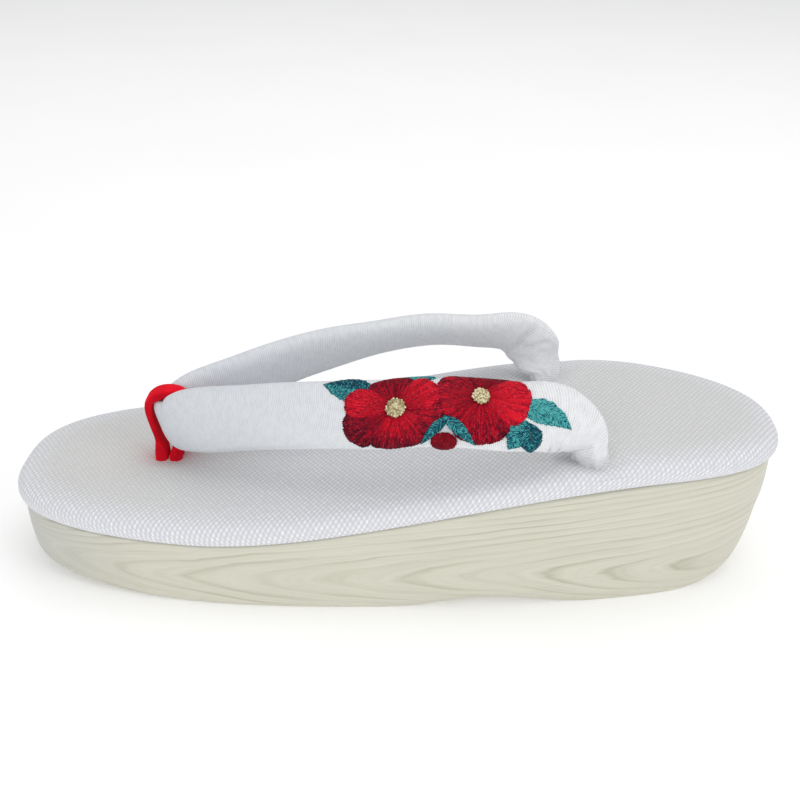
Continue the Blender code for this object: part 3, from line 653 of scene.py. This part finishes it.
def strap_finish():
    """White ribbed cloth: fine ribs across the band that lean, waver and break off, with painted shade
    greying the grooves between them and the band towards the nose."""
    material, tree, shader = new_finish("ribbed_cloth", Roughness=0.8, Sheen_Weight=0.2,
                                        Sheen_Roughness=0.4)
    along, across = attribute(tree, "cloth")[1:3]
    waver = noise(tree, (along, 160.0), (across, 420.0), 0.0)
    lean = calc(tree, "MULTIPLY_ADD", across, RIB_LEAN, along)
    place = calc(tree, "MULTIPLY_ADD", waver, 4.5, calc(tree, "MULTIPLY", lean, 2.0 * math.pi / RIB_PITCH))
    rib = calc(tree, "MULTIPLY_ADD", calc(tree, "SINE", place), 0.5, 0.5)
    broken = rescale(tree, noise(tree, (along, 800.0), (across, 360.0), 5.0), 0.36, 0.62, 0.3, 1.0)
    rib = calc(tree, "MULTIPLY_ADD", calc(tree, "SUBTRACT", rib, 0.6), broken, 0.6)
    thread = noise(tree, (along, 1500.0), (across, 1900.0), 2.0)
    height = calc(tree, "MULTIPLY_ADD", thread, 0.5, rib)
    # Painted shade in the grooves between the ribs.
    colour = ramp(tree, height, ((0.15, RIB_GAP_SHADE), (1.0, RIB_TOP)))
    # Painted shade: greyer and bluer towards the nose.
    rearward = rescale(tree, calc(tree, "ABSOLUTE", along), 0.0, NOSE_SHADE_RUN)
    nose_shade = ramp(tree, rearward, ((0.0, NOSE_SHADE), (1.0, PLAIN)))
    tree.links.new(blend(tree, 1.0, colour, nose_shade, "MULTIPLY"), shader.inputs["Base Color"])
    set_bump(tree, shader, height, 0.6, 0.16 * MM)
    return material


points, cloth = strap_surface()
strap = add_surface("padded_strap", points[None], strap_finish(), cloth=cloth[None])
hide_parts("strap")

# Thong
# A flat band of red felt. It comes up wide from the front hole, is laid over the nose of the strap and
# narrows behind it on its way back down into the same hole, both ends bunched together there.
THONG_ROWS = (
    dict(along=-74.75, lift=-5.0, width=7.4, thick=4.3),
    dict(along=-74.75, lift=0.8, width=7.8, thick=4.4),
    dict(along=-74.9, lift=3.6, width=7.4, thick=3.7),
    dict(along=-75.5, lift=7.0, width=7.0, thick=1.9),
    dict(along=-76.8, lift=12.3, width=7.2, thick=2.0),
    dict(along=-77.6, lift=17.0, width=7.4, thick=2.4),
    dict(along=-76.9, lift=20.0, width=7.4, thick=2.9),
    dict(along=-74.3, lift=21.9, width=7.4, thick=3.3),
    dict(along=-70.4, lift=22.8, width=6.2, thick=3.0),
    dict(along=-66.9, lift=22.3, width=4.4, thick=2.2),
    dict(along=-64.4, lift=18.8, width=4.2, thick=2.2),
    dict(along=-63.2, lift=14.0, width=4.4, thick=2.2),
    dict(along=-64.0, lift=9.0, width=4.4, thick=2.2),
    dict(along=-66.5, lift=4.6, width=4.8, thick=2.6),
    dict(along=-69.5, lift=2.2, width=6.8, thick=4.0),
    dict(along=-70.2, lift=-0.6, width=7.6, thick=4.4),
    dict(along=-70.3, lift=-5.0, width=7.4, thick=4.3),
)
THONG_ROUNDNESS = 3.2
THONG_SECTION_POINTS = 48
BUNCHED_THICK = (2.4 * MM, 3.6 * MM)
FOLD_DEPTH = 0.14
FELT_HALF_WIDTH = 3.6 * MM
FELT_HALF_THICK = 1.2 * MM
FELT_EDGE_FROM = 2.9 * MM
FELT_TONES = (
    (0.2, (0.46, 0.003, 0.012)),
    (0.5, (0.80, 0.007, 0.022)),
    (0.8, (0.95, 0.012, 0.030)),
)


def thong_surface():
    """Superellipse sections along a loop in the middle plane, with two soft folds down each bunched end."""
    curve = smooth_curve(columns(THONG_ROWS, "along", "lift", "width", "thick").T * MM, 12)
    top = footbed_height(np.array(THONG_HOLE_X))
    centres = np.column_stack((curve[:, 0], np.zeros(len(curve)), top + curve[:, 1]))
    wide_axes = np.tile((0.0, 1.0, 0.0), (len(curve), 1))
    thick_axes = np.cross(unit(np.gradient(centres, axis=0)), wide_axes)
    turn = full_turn(THONG_SECTION_POINTS)
    wide = signed_power(np.sin(turn), 2.0 / THONG_ROUNDNESS)
    thick = signed_power(np.cos(turn), 2.0 / THONG_ROUNDNESS)
    bunched = smooth_climb(*BUNCHED_THICK, curve[:, 3])[:, None]
    folds = 1.0 - FOLD_DEPTH * bunched * np.cos(3.0 * math.pi * wide) ** 2
    halves = curve[:, 2:] / 2.0
    points = swept(centres, wide_axes, thick_axes, wide * halves[:, :1], thick * folds * halves[:, 1:])
    travel = running_length(centres)[:, None]
    flat = ((wide * FELT_HALF_WIDTH)[None], (thick * FELT_HALF_THICK)[None])
    felt = np.stack(np.broadcast_arrays(travel, *flat), axis=-1)
    return close_ends(points, centres), repeat_ends(felt)


def felt_finish():
    """Red felt: a soft nap of fine noise, crimson along its cut edges and in the hollows of the nap, where
    the darkening is painted shade.
    """
    material, tree, shader = new_finish("red_felt", Roughness=0.9, Specular_IOR_Level=0.08,
                                        Sheen_Weight=0.06, Sheen_Roughness=0.45,
                                        Sheen_Tint=(1.0, 0.1, 0.12, 1.0))
    place = attribute(tree, "felt")[1:]
    nap = noise(tree, *[(part, 1700.0) for part in place], detail=4.0, roughness=0.65)
    cloud = noise(tree, *[(part, 260.0) for part in place])
    # Darker where the nap is low, painted shade in its hollows, mixed with a cloudy tone of its own.
    tone = calc(tree, "MULTIPLY_ADD", cloud, 0.5, calc(tree, "MULTIPLY", nap, 0.5))
    edge = rescale(tree, calc(tree, "ABSOLUTE", place[1]), FELT_EDGE_FROM, FELT_HALF_WIDTH, 0.0, 0.22)
    colour = ramp(tree, calc(tree, "SUBTRACT", tone, edge), FELT_TONES)
    tree.links.new(colour, shader.inputs["Base Color"])
    set_bump(tree, shader, nap, 0.5, 0.25 * MM)
    return material


points, felt = thong_surface()
thong = add_surface("felt_thong", points[None], felt_finish(), felt=felt[None])
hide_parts("thong")

# Camellias
# Two flowers in satin stitch on the outer arm. Each petal is a pad of red thread sewn outwards from the
# flower's middle, one over the other, from bright red through crimson to maroon towards the edges, with
# painted shade along the rim of each pad.
FLOWER_MIDDLE = dict(front=(84.6, 0.1), rear=(107.7, 3.6))
FACE_TOP = 11.9 * MM
FACE_LOW = -12.5 * MM
THREAD_PILE = 0.6 * MM
LAYER_RISE = 0.10 * MM
FACE_STEPS = 24
FACE_POINTS = 181
PETAL_START = 0.6 * MM
PETAL_ROWS = (
    dict(flower="front", layer=0, direction=112, reach=11.4, width=16.5, inner=0.50, outer=0.26),
    dict(flower="front", layer=1, direction=-16, reach=13.6, width=12.5, inner=0.62, outer=0.46),
    dict(flower="front", layer=1, direction=204, reach=16.6, width=12.0, inner=0.42, outer=0.16),
    dict(flower="front", layer=2, direction=-80, reach=11.8, width=17.5, inner=0.80, outer=0.26),
    dict(flower="front", layer=3, direction=168, reach=16.0, width=8.8, inner=0.74, outer=0.72),
    dict(flower="front", layer=3, direction=31, reach=13.2, width=10.0, inner=0.72, outer=0.88),
    dict(flower="rear", layer=0, direction=98, reach=9.8, width=19.0, inner=0.40, outer=0.24),
    dict(flower="rear", layer=1, direction=156, reach=12.8, width=10.0, inner=0.46, outer=0.44),
    dict(flower="rear", layer=2, direction=197, reach=11.6, width=9.5, inner=0.56, outer=0.58),
    dict(flower="rear", layer=3, direction=-86, reach=13.8, width=15.0, inner=0.62, outer=0.34),
    dict(flower="rear", layer=4, direction=-3, reach=14.6, width=13.8, inner=0.90, outer=0.92),
)
PETAL_POINTS = 200
PETAL_FULLNESS = 0.30
PETAL_RAGGED = 0.016
LOBE_ROWS = (
    dict(count=3.0, depth=0.022),
    dict(count=5.0, depth=0.018),
    dict(count=9.0, depth=0.012),
)
FAN_RADIUS = 9.0 * MM
OUTER_SHADE_FROM = 0.35
# Painted shade along the rim of each petal pad.
PETAL_EDGE_SHADE = 0.22
PETAL_EDGE_FROM = 0.80
THREAD_PITCH = 0.36 * MM
PAD_ROWS = (
    dict(share=0.00, rise=1.00),
    dict(share=0.25, rise=1.00),
    dict(share=0.45, rise=0.99),
    dict(share=0.62, rise=0.96),
    dict(share=0.76, rise=0.90),
    dict(share=0.87, rise=0.78),
    dict(share=0.95, rise=0.55),
    dict(share=1.00, rise=0.20),
    dict(share=1.00, rise=-0.20),
    dict(share=0.50, rise=-0.20),
    dict(share=0.00, rise=-0.20),
)
thread_ends = np.random.default_rng(11)


def outer_face(along, across, height):
    """Point on the outer arm: distance from the nose, distance over the cloth from the middle of the face,
    positive upwards, and height over the cloth along the normal of the superellipse section."""
    path = np.column_stack(strap_path(FACE_STEPS))[(len(STRAP_ROWS) - 1) * FACE_STEPS:]
    travel = running_length(path[:, :3])
    here = np.stack([np.interp(along, travel, column) for column in path.T], axis=-1)
    centre, wide_axis, thick_axis = here[..., 0:3], here[..., 3:6], here[..., 6:9]
    half_width, half_thick = here[..., 9] / 2.0, here[..., 10] / 2.0
    quarter = np.linspace(0.0, math.pi / 2.0, FACE_POINTS)
    section = np.column_stack((np.sin(quarter), np.cos(quarter))) ** (2.0 / STRAP_ROUNDNESS)
    girth = running_length(section * (FACE_HALF_WIDTH, FACE_HALF_THICK))
    wide = np.interp(np.abs(across), girth, section[:, 0]) * np.sign(across)
    thick = np.interp(np.abs(across), girth, section[:, 1])
    slope = STRAP_ROUNDNESS - 1.0
    wide_lean = signed_power(wide, slope) / half_width
    thick_lean = thick ** slope / half_thick
    normal = unit(wide_axis * wide_lean[..., None] + thick_axis * thick_lean[..., None])
    surface = centre + wide_axis * (wide * half_width)[..., None]
    surface = surface + thick_axis * (thick * half_thick)[..., None]
    return surface + normal * np.asarray(height)[..., None]


def thread_pads(middles, rims, layers):
    """Closed pads of thread: each ring is the rim (count, points, 2) drawn in towards the pad's middle, and
    the height is the pile times the rise of that ring, on layers that lie over each other."""
    share, rise = columns(PAD_ROWS, "share", "rise")
    flat = middles[:, None, None] + (rims - middles[:, None])[:, None] * share[None, :, None, None]
    flat[..., 1] = np.clip(flat[..., 1], FACE_LOW, FACE_TOP)
    lift = np.where(rise > 0.0, 1.0, 0.0)[None] * (layers * LAYER_RISE)[:, None] + THREAD_PILE * rise[None]
    height = np.broadcast_to(lift[:, :, None], flat.shape[:3])
    return flat, outer_face(flat[..., 0], flat[..., 1], height)


def petal_pads(rows):
    """Egg-shaped rims: along the petal the cosine from near the flower's middle to its reach, across it the
    sine, wider to the outside, with shallow lobes and uneven thread ends. Threads fan out from the flower's
    middle, and the shade runs from the inner to the outer value with the distance from it and drops at the
    rim, painted shade that sets each pad off from the one below."""
    direction, reach, width, layer, inner, outer = columns(
        rows, "direction", "reach", "width", "layer", "inner", "outer")[:, :, None]
    heart = np.array([FLOWER_MIDDLE[row["flower"]] for row in rows]) * MM
    turn = full_turn(PETAL_POINTS)
    half = (reach * MM - PETAL_START) / 2.0
    ends = 1.0 + PETAL_RAGGED * thread_ends.standard_normal((len(rows), len(turn)))
    phases = thread_ends.uniform(0.0, 2.0 * math.pi, (len(LOBE_ROWS), len(rows), 1))
    for lobe, phase in zip(LOBE_ROWS, phases):
        ends = ends + lobe["depth"] * np.sin(lobe["count"] * turn + phase)
    outwards = PETAL_START + half + half * np.cos(turn) * ends
    sideways = width * MM / 2.0 * np.sin(turn) * (1.0 + PETAL_FULLNESS * np.cos(turn)) * ends
    angle = np.radians(direction)
    rims = heart[:, None] + np.stack((outwards * np.cos(angle) - sideways * np.sin(angle),
                                      outwards * np.sin(angle) + sideways * np.cos(angle)), axis=-1)
    middles = heart + np.column_stack((np.cos(angle), np.sin(angle))) * (PETAL_START + half)
    flat, points = thread_pads(middles, rims, layer[:, 0])
    away = flat - heart[:, None, None]
    spread = np.arctan2(away[..., 1], away[..., 0]) - angle[..., None]
    spread = (spread + math.pi) % (2.0 * math.pi) - math.pi
    distance = np.linalg.norm(away, axis=-1)
    stitch = np.stack(np.broadcast_arrays(spread * FAN_RADIUS, distance, direction[..., None]), axis=-1)
    outerness = smooth_climb(OUTER_SHADE_FROM, 1.0, distance / (reach[..., None] * MM))
    shade = inner[..., None] + (outer - inner)[..., None] * outerness
    rim_share = columns(PAD_ROWS, "share")[0][:, None]
    # Painted shade along the rim of each pad.
    shade = shade - PETAL_EDGE_SHADE * smooth_climb(PETAL_EDGE_FROM, 1.0, rim_share)
    return points, stitch, np.stack((shade, shade, shade), axis=-1)


def satin_stitch_group():
    """Rows of thread: a sine across the threads gives their round backs, with painted shade in the grooves
    between them, and two noises drawn out along them give strands and bundles their own shade, more by
    bundles the higher Bundling is. A third gives the short runs where threads glint."""
    inputs = dict(Stitch="Vector", Shade="Float", Pitch="Float", Variation="Float", Bundling="Float")
    outputs = dict(Height="Float", Shade="Float", Glint="Float")
    group, given, result = new_group("satin_stitch", inputs, outputs)
    over, run, pad = node(group, "ShaderNodeSeparateXYZ", {0: given["Stitch"]}).outputs
    thread = calc(group, "DIVIDE", over, given["Pitch"])
    wander = noise(group, (thread, 0.4), (run, 260.0), pad)
    wave = calc(group, "MULTIPLY_ADD", wander, 3.0, calc(group, "MULTIPLY", thread, 2.0 * math.pi))
    back = calc(group, "POWER", calc(group, "MULTIPLY_ADD", calc(group, "SINE", wave), 0.5, 0.5), 0.6)
    strand = noise(group, (thread, 1.1), (run, 850.0), pad, 3.0)
    bundle = noise(group, (thread, 0.4), (run, 130.0), pad)
    own = calc(group, "MULTIPLY_ADD", calc(group, "SUBTRACT", bundle, strand), given["Bundling"], strand)
    own = rescale(group, own, 0.38, 0.62)
    varied = calc(group, "SUBTRACT", own, 0.5)
    varied = calc(group, "MULTIPLY_ADD", varied, given["Variation"], given["Shade"])
    # Painted shade in the grooves between the threads' round backs.
    shaded = calc(group, "MULTIPLY_ADD", calc(group, "SUBTRACT", back, 0.7), 0.36, varied)
    glint = rescale(group, noise(group, (thread, 0.9), (run, 1150.0), pad), 0.58, 0.70)
    group.links.new(calc(group, "MULTIPLY_ADD", own, 0.4, back), result["Height"])
    group.links.new(shaded, result["Shade"])
    group.links.new(calc(group, "MULTIPLY", glint, back), result["Glint"])
    return group


satin_stitch = satin_stitch_group()


def thread_finish(name, stops, glint, variation, bundling=0.45):
    """Satin-stitch thread with colours read off a ramp by the shade of the stitch, paler where it glints."""
    material, tree, shader = new_finish(name, Roughness=0.5, Specular_IOR_Level=0.1)
    stitch = attribute(tree, "stitch")[0]
    shade = attribute(tree, "shade")[1]
    sewn = place_group(tree, satin_stitch, Stitch=stitch, Shade=shade, Pitch=THREAD_PITCH,
                       Variation=variation, Bundling=bundling)
    lit = calc(tree, "MULTIPLY", calc(tree, "MULTIPLY_ADD", shade, 0.25, 0.3), sewn["Glint"])
    colour = blend(tree, lit, ramp(tree, sewn["Shade"], stops), (*glint, 1.0))
    tree.links.new(colour, shader.inputs["Base Color"])
    set_bump(tree, shader, sewn["Height"], 0.8, 0.22 * MM)
    return material


petal_thread = thread_finish("petal_thread", (
    (0.00, (0.060, 0.001, 0.008)),
    (0.30, (0.21, 0.001, 0.014)),
    (0.60, (0.43, 0.002, 0.017)),
    (1.00, (0.80, 0.006, 0.024)),
), (0.80, 0.14, 0.20), 0.8)
for flower in FLOWER_MIDDLE:
    points, stitch, shade = petal_pads([row for row in PETAL_ROWS if row["flower"] == flower])
    petals = add_surface("petals_" + flower, points, petal_thread, stitch=stitch, shade=shade)
    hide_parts("flower_" + flower)

# Leaves, sepals and bud
# Smaller pads of the same stitch round the flowers: leaves in teal thread, the front one in two tones, two
# slim sepals that part over a crimson bud, which hangs over the lower edge of the band.
LEAF_ROWS = (
    dict(node="leaf_front", layer=0, base=(77.6, 5.6), tip=(61.6, 9.3),
         half_width=4.3, left=0.58, right=0.10),
    dict(node="leaf_rear", layer=0, base=(118.6, 1.3), tip=(133.6, -0.5),
         half_width=3.8, left=0.92, right=0.86),
    dict(node="leaf_low_front", layer=0, base=(121.0, -2.6), tip=(115.9, -11.2),
         half_width=3.6, left=0.55, right=0.62),
    dict(node="leaf_low_rear", layer=1, base=(121.4, -3.2), tip=(121.7, -12.6),
         half_width=3.8, left=0.12, right=0.30),
    dict(node="leaf_top", layer=0, base=(95.2, 10.6), tip=(85.2, 10.9),
         half_width=1.8, left=0.80, right=0.74),
    dict(node="sepal_front", layer=5, base=(99.2, -2.8), tip=(91.3, -10.6),
         half_width=1.5, left=0.22, right=0.40),
    dict(node="sepal_rear", layer=5, base=(98.0, -2.6), tip=(107.2, -10.5),
         half_width=1.8, left=0.38, right=0.52),
)
LEAF_POINTS = 96
LEAF_TAPER = 0.78
LEAF_RAGGED = 0.05
VEIN_HALF_WIDTH = 0.3 * MM
STITCH_LEAN = math.radians(52)
BUD_MIDDLE = (98.1, -9.9)
BUD_HALF_LENGTH = 3.8
BUD_HALF_HEIGHT = 2.5
BUD_POINTS = 72
BUD_RAGGED = 0.03
BUD_LAYER = 6.0
BUD_SHADE = 0.45
BUD_SHADE_RISE = 0.10


def leaf_pads(rows):
    """Pointed rims: a sine bow, widest nearer the base, on both sides of the line to the tip. Threads lean
    back from the middle vein on either side, and each side has its own shade."""
    base = np.array([row["base"] for row in rows]) * MM
    tip = np.array([row["tip"] for row in rows]) * MM
    half_width, left, right, layer = columns(rows, "half_width", "left", "right", "layer")[:, :, None]
    turn = full_turn(LEAF_POINTS)
    share = (1.0 - np.cos(turn)) / 2.0
    bow = np.sign(np.sin(turn)) * np.sin(math.pi * share ** LEAF_TAPER)
    bow = bow * (1.0 + LEAF_RAGGED * thread_ends.standard_normal((len(rows), len(turn))))
    line = tip - base
    side = unit(np.column_stack((-line[:, 1], line[:, 0])))
    rims = base[:, None] + line[:, None] * share[None, :, None]
    rims = rims + side[:, None] * (half_width * MM * bow)[..., None]
    flat, points = thread_pads(base + line / 2.0, rims, layer[:, 0])
    away = flat - base[:, None, None]
    up = np.sum(away * unit(line)[:, None, None], axis=-1)
    off = np.sum(away * side[:, None, None], axis=-1)
    across_thread = up * math.sin(STITCH_LEAN) - np.abs(off) * math.cos(STITCH_LEAN)
    along_thread = up * math.cos(STITCH_LEAN) + np.abs(off) * math.sin(STITCH_LEAN)
    stitch = np.stack((across_thread, along_thread, np.sign(off)), axis=-1)
    on_left = smooth_climb(-VEIN_HALF_WIDTH, VEIN_HALF_WIDTH, off)
    shade = right[..., None] + (left - right)[..., None] * on_left
    return points, stitch, np.stack((shade, shade, shade), axis=-1)


leaf_thread = thread_finish("leaf_thread", (
    (0.00, (0.003, 0.040, 0.075)),
    (0.30, (0.006, 0.105, 0.145)),
    (0.60, (0.016, 0.205, 0.230)),
    (1.00, (0.090, 0.470, 0.465)),
), (0.50, 0.78, 0.76), 1.5, bundling=0.10)
for row in LEAF_ROWS:
    points, stitch, shade = leaf_pads([row])
    leaf = add_surface("sewn_" + row["node"], points, leaf_thread, stitch=stitch, shade=shade)
    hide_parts(row["node"])

bud_thread = thread_finish("bud_thread", (
    (0.0, (0.09, 0.001, 0.006)),
    (0.5, (0.22, 0.001, 0.010)),
    (1.0, (0.38, 0.004, 0.018)),
), (0.60, 0.10, 0.15), 0.6)
turn = full_turn(BUD_POINTS)
bud_rim = np.column_stack((BUD_HALF_LENGTH * np.cos(turn), BUD_HALF_HEIGHT * np.sin(turn)))
bud_rim = bud_rim * (1.0 + BUD_RAGGED * thread_ends.standard_normal((len(turn), 1)))
bud_middle = np.array((BUD_MIDDLE,)) * MM
flat, points = thread_pads(bud_middle, bud_middle[:, None] + bud_rim[None] * MM, np.full(1, BUD_LAYER))
away = flat - bud_middle[:, None, None]
stitch = np.stack((away[..., 0], away[..., 1], 0.0 * away[..., 0]), axis=-1)
shade = BUD_SHADE + BUD_SHADE_RISE * away[..., 1] / (BUD_HALF_HEIGHT * MM)
shade = np.stack((shade, shade, shade), axis=-1)
bud = add_surface("sewn_bud", points, bud_thread, stitch=stitch, shade=shade)
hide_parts("bud")

# Stamens
# A round heap of small knots of gold-cream thread in the middle of each flower, sewn close together over the
# inner ends of the petals, with painted shade in the gaps between the knots.
STAMEN_RADIUS = dict(front=3.1, rear=2.6)
KNOT_RADIUS = 0.36
KNOT_COUNT = 96
KNOT_ROWS = 7
KNOT_POINTS = 9
KNOT_FLATNESS = 0.8
KNOT_VARIATION = 0.16
HEAP_RISE = 0.30
STAMEN_LIFT = 1.05 * MM
GOLDEN_TURN = math.radians(137.508)
STAMEN_TONES = (
    (0.0, (0.06, 0.035, 0.012)),
    (0.35, (0.34, 0.26, 0.11)),
    (0.8, (0.84, 0.77, 0.52)),
)


def stamen_knots(middle, radius):
    """Knots set like seeds: the square root of the count gives the distance from the middle, the golden
    angle the direction. Each is a flattened ball on the cloth, and the heap is highest in the middle."""
    count = np.arange(KNOT_COUNT)
    distance = (radius - 0.8 * KNOT_RADIUS) * np.sqrt((count + 0.5) / KNOT_COUNT)
    size = KNOT_RADIUS * (1.0 + KNOT_VARIATION * thread_ends.standard_normal(KNOT_COUNT))[:, None, None]
    pitch = np.linspace(0.0, math.pi, KNOT_ROWS)[None, :, None]
    turn = full_turn(KNOT_POINTS)[None, None, :]
    across = (middle[1] + distance * np.sin(count * GOLDEN_TURN))[:, None, None]
    along = (middle[0] + distance * np.cos(count * GOLDEN_TURN))[:, None, None]
    heap = HEAP_RISE * (1.0 - (distance / radius) ** 2)[:, None, None]
    along = along + size * np.sin(pitch) * np.cos(turn)
    across = across + size * np.sin(pitch) * np.sin(turn)
    height = STAMEN_LIFT + (heap + KNOT_FLATNESS * size * np.cos(pitch)) * MM + 0.0 * turn
    tone = np.broadcast_to(thread_ends.uniform(0.1, 1.0, KNOT_COUNT)[:, None, None], along.shape)
    # Painted shade that grows towards the lower side of each knot.
    low = 0.5 - 0.5 * np.cos(pitch) + 0.0 * along
    return outer_face(along * MM, across * MM, height), np.stack((tone, low, tone), axis=-1)


def stamen_finish():
    """Gold-cream thread: each knot has its own tone, with painted shade towards its lower side, where it
    meets its neighbours.
    """
    material, tree, shader = new_finish("stamen_thread", Roughness=0.5, Sheen_Weight=0.1,
                                        Sheen_Roughness=0.3)
    tone, low = attribute(tree, "knot")[1:3]
    place = node(tree, "ShaderNodeTexCoord").outputs["Object"]
    inputs = {"Vector": place, "Scale": 3200.0, "Detail": 2.0}
    strands = node(tree, "ShaderNodeTexNoise", inputs).outputs["Fac"]
    mixed = calc(tree, "MULTIPLY_ADD", strands, 0.5, calc(tree, "MULTIPLY", tone, 0.6))
    # Painted shade: darker towards the lower side of each knot.
    mixed = calc(tree, "SUBTRACT", mixed, calc(tree, "MULTIPLY", low, 0.75))
    tree.links.new(ramp(tree, mixed, STAMEN_TONES), shader.inputs["Base Color"])
    set_bump(tree, shader, strands, 0.5, 0.1 * MM)
    return material


stamen_thread = stamen_finish()
for flower, middle in FLOWER_MIDDLE.items():
    points, knot = stamen_knots(middle, STAMEN_RADIUS[flower])
    stamens = add_surface("knots_" + flower, points, stamen_thread, knot=knot)
    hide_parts("stamens_" + flower)

# Floor, light and camera
# A flat pale board, a broad soft light overhead with fills from the right and the front, and a camera
# that looks down at the outer side of the geta.
FLOOR_HALF = 3.0
FLOOR_GLOW = 0.20
FLOOR_TONES = ((0.3, (0.90, 0.90, 0.90)), (0.7, (0.92, 0.92, 0.92)))
SKY_COLOUR = (0.985, 0.99, 1.0, 1.0)
SKY_STRENGTH = 0.55
LIGHT_AIM = np.array((0.0, 0.0, 0.03))
LIGHT_ROWS = (
    dict(name="overhead", place=(0.10, 0.25, 1.10), size=1.3, power=4.8, colour=(1.0, 0.99, 0.98)),
    dict(name="right_front", place=(0.85, -0.60, 0.70), size=0.6, power=2.4, colour=(0.99, 0.99, 1.0)),
    dict(name="front", place=(-0.30, -1.00, 0.45), size=0.8, power=3.0, colour=(1.0, 1.0, 1.0)),
)
SENSOR_WIDTH = 36.0
NEAREST = 10 * MM
FRAME_PIXELS = 800
FOCAL_PIXELS = 1185.478
CAMERA_TARGET = np.array((2.029, 0.0, 51.271)) * MM
CAMERA_DISTANCE = 373.571 * MM
CAMERA_AZIMUTH = math.radians(1.563)
CAMERA_ELEVATION = math.radians(26.621)
CAMERA_ROLL = math.radians(0.547)


def stand(right, up, back, place):
    """Matrix of an object with these axes at a place."""
    return Matrix(np.vstack((np.column_stack((right, up, back, place)), (0.0, 0.0, 0.0, 1.0))).tolist())


def soft_light(name, place, size, power, colour):
    """Square area light that faces the aim."""
    light = bpy.data.lights.new(name, "AREA")
    light.size = size
    light.energy = power
    light.color = colour
    lamp = bpy.data.objects.new(name, light)
    back = unit(np.array(place) - LIGHT_AIM)
    right = unit(np.cross((0.0, 0.0, 1.0), back))
    lamp.matrix_world = stand(right, np.cross(back, right), back, place)
    bpy.context.scene.collection.objects.link(lamp)


board, tree, shader = new_finish("pale_board", Roughness=0.9, Emission_Color=(1.0, 1.0, 1.0, 1.0),
                                 Emission_Strength=FLOOR_GLOW)
place = node(tree, "ShaderNodeTexCoord").outputs["Object"]
mottle = node(tree, "ShaderNodeTexNoise", {"Vector": place, "Scale": 9.0, "Detail": 3.0}).outputs["Fac"]
tree.links.new(ramp(tree, mottle, FLOOR_TONES), shader.inputs["Base Color"])
floor_mesh = bpy.data.meshes.new("floor")
corners = np.array(((-1, -1, 0), (1, -1, 0), (1, 1, 0), (-1, 1, 0))) * FLOOR_HALF
floor_mesh.from_pydata(corners.tolist(), [], [(0, 1, 2, 3)])
floor_mesh.materials.append(board)
floor = bpy.data.objects.new("floor", floor_mesh)
bpy.context.scene.collection.objects.link(floor)

world = bpy.data.worlds.new("studio")
world.use_nodes = True
world.node_tree.nodes["Background"].inputs["Color"].default_value = SKY_COLOUR
world.node_tree.nodes["Background"].inputs["Strength"].default_value = SKY_STRENGTH
bpy.context.scene.world = world
for row in LIGHT_ROWS:
    soft_light(**row)

back = np.array((math.sin(CAMERA_AZIMUTH) * math.cos(CAMERA_ELEVATION),
                 -math.cos(CAMERA_AZIMUTH) * math.cos(CAMERA_ELEVATION), math.sin(CAMERA_ELEVATION)))
level = unit(np.cross((0.0, 0.0, 1.0), back))
upright = np.cross(back, level)
right = level * math.cos(CAMERA_ROLL) + upright * math.sin(CAMERA_ROLL)
up = upright * math.cos(CAMERA_ROLL) - level * math.sin(CAMERA_ROLL)
lens = bpy.data.cameras.new("camera")
lens.sensor_width = SENSOR_WIDTH
lens.lens = FOCAL_PIXELS / FRAME_PIXELS * SENSOR_WIDTH
lens.clip_start = NEAREST
camera = bpy.data.objects.new("camera", lens)
camera.matrix_world = stand(right, up, back, CAMERA_TARGET + back * CAMERA_DISTANCE)
bpy.context.scene.collection.objects.link(camera)
bpy.context.scene.camera = camera
bpy.context.scene.view_settings.view_transform = "Standard"
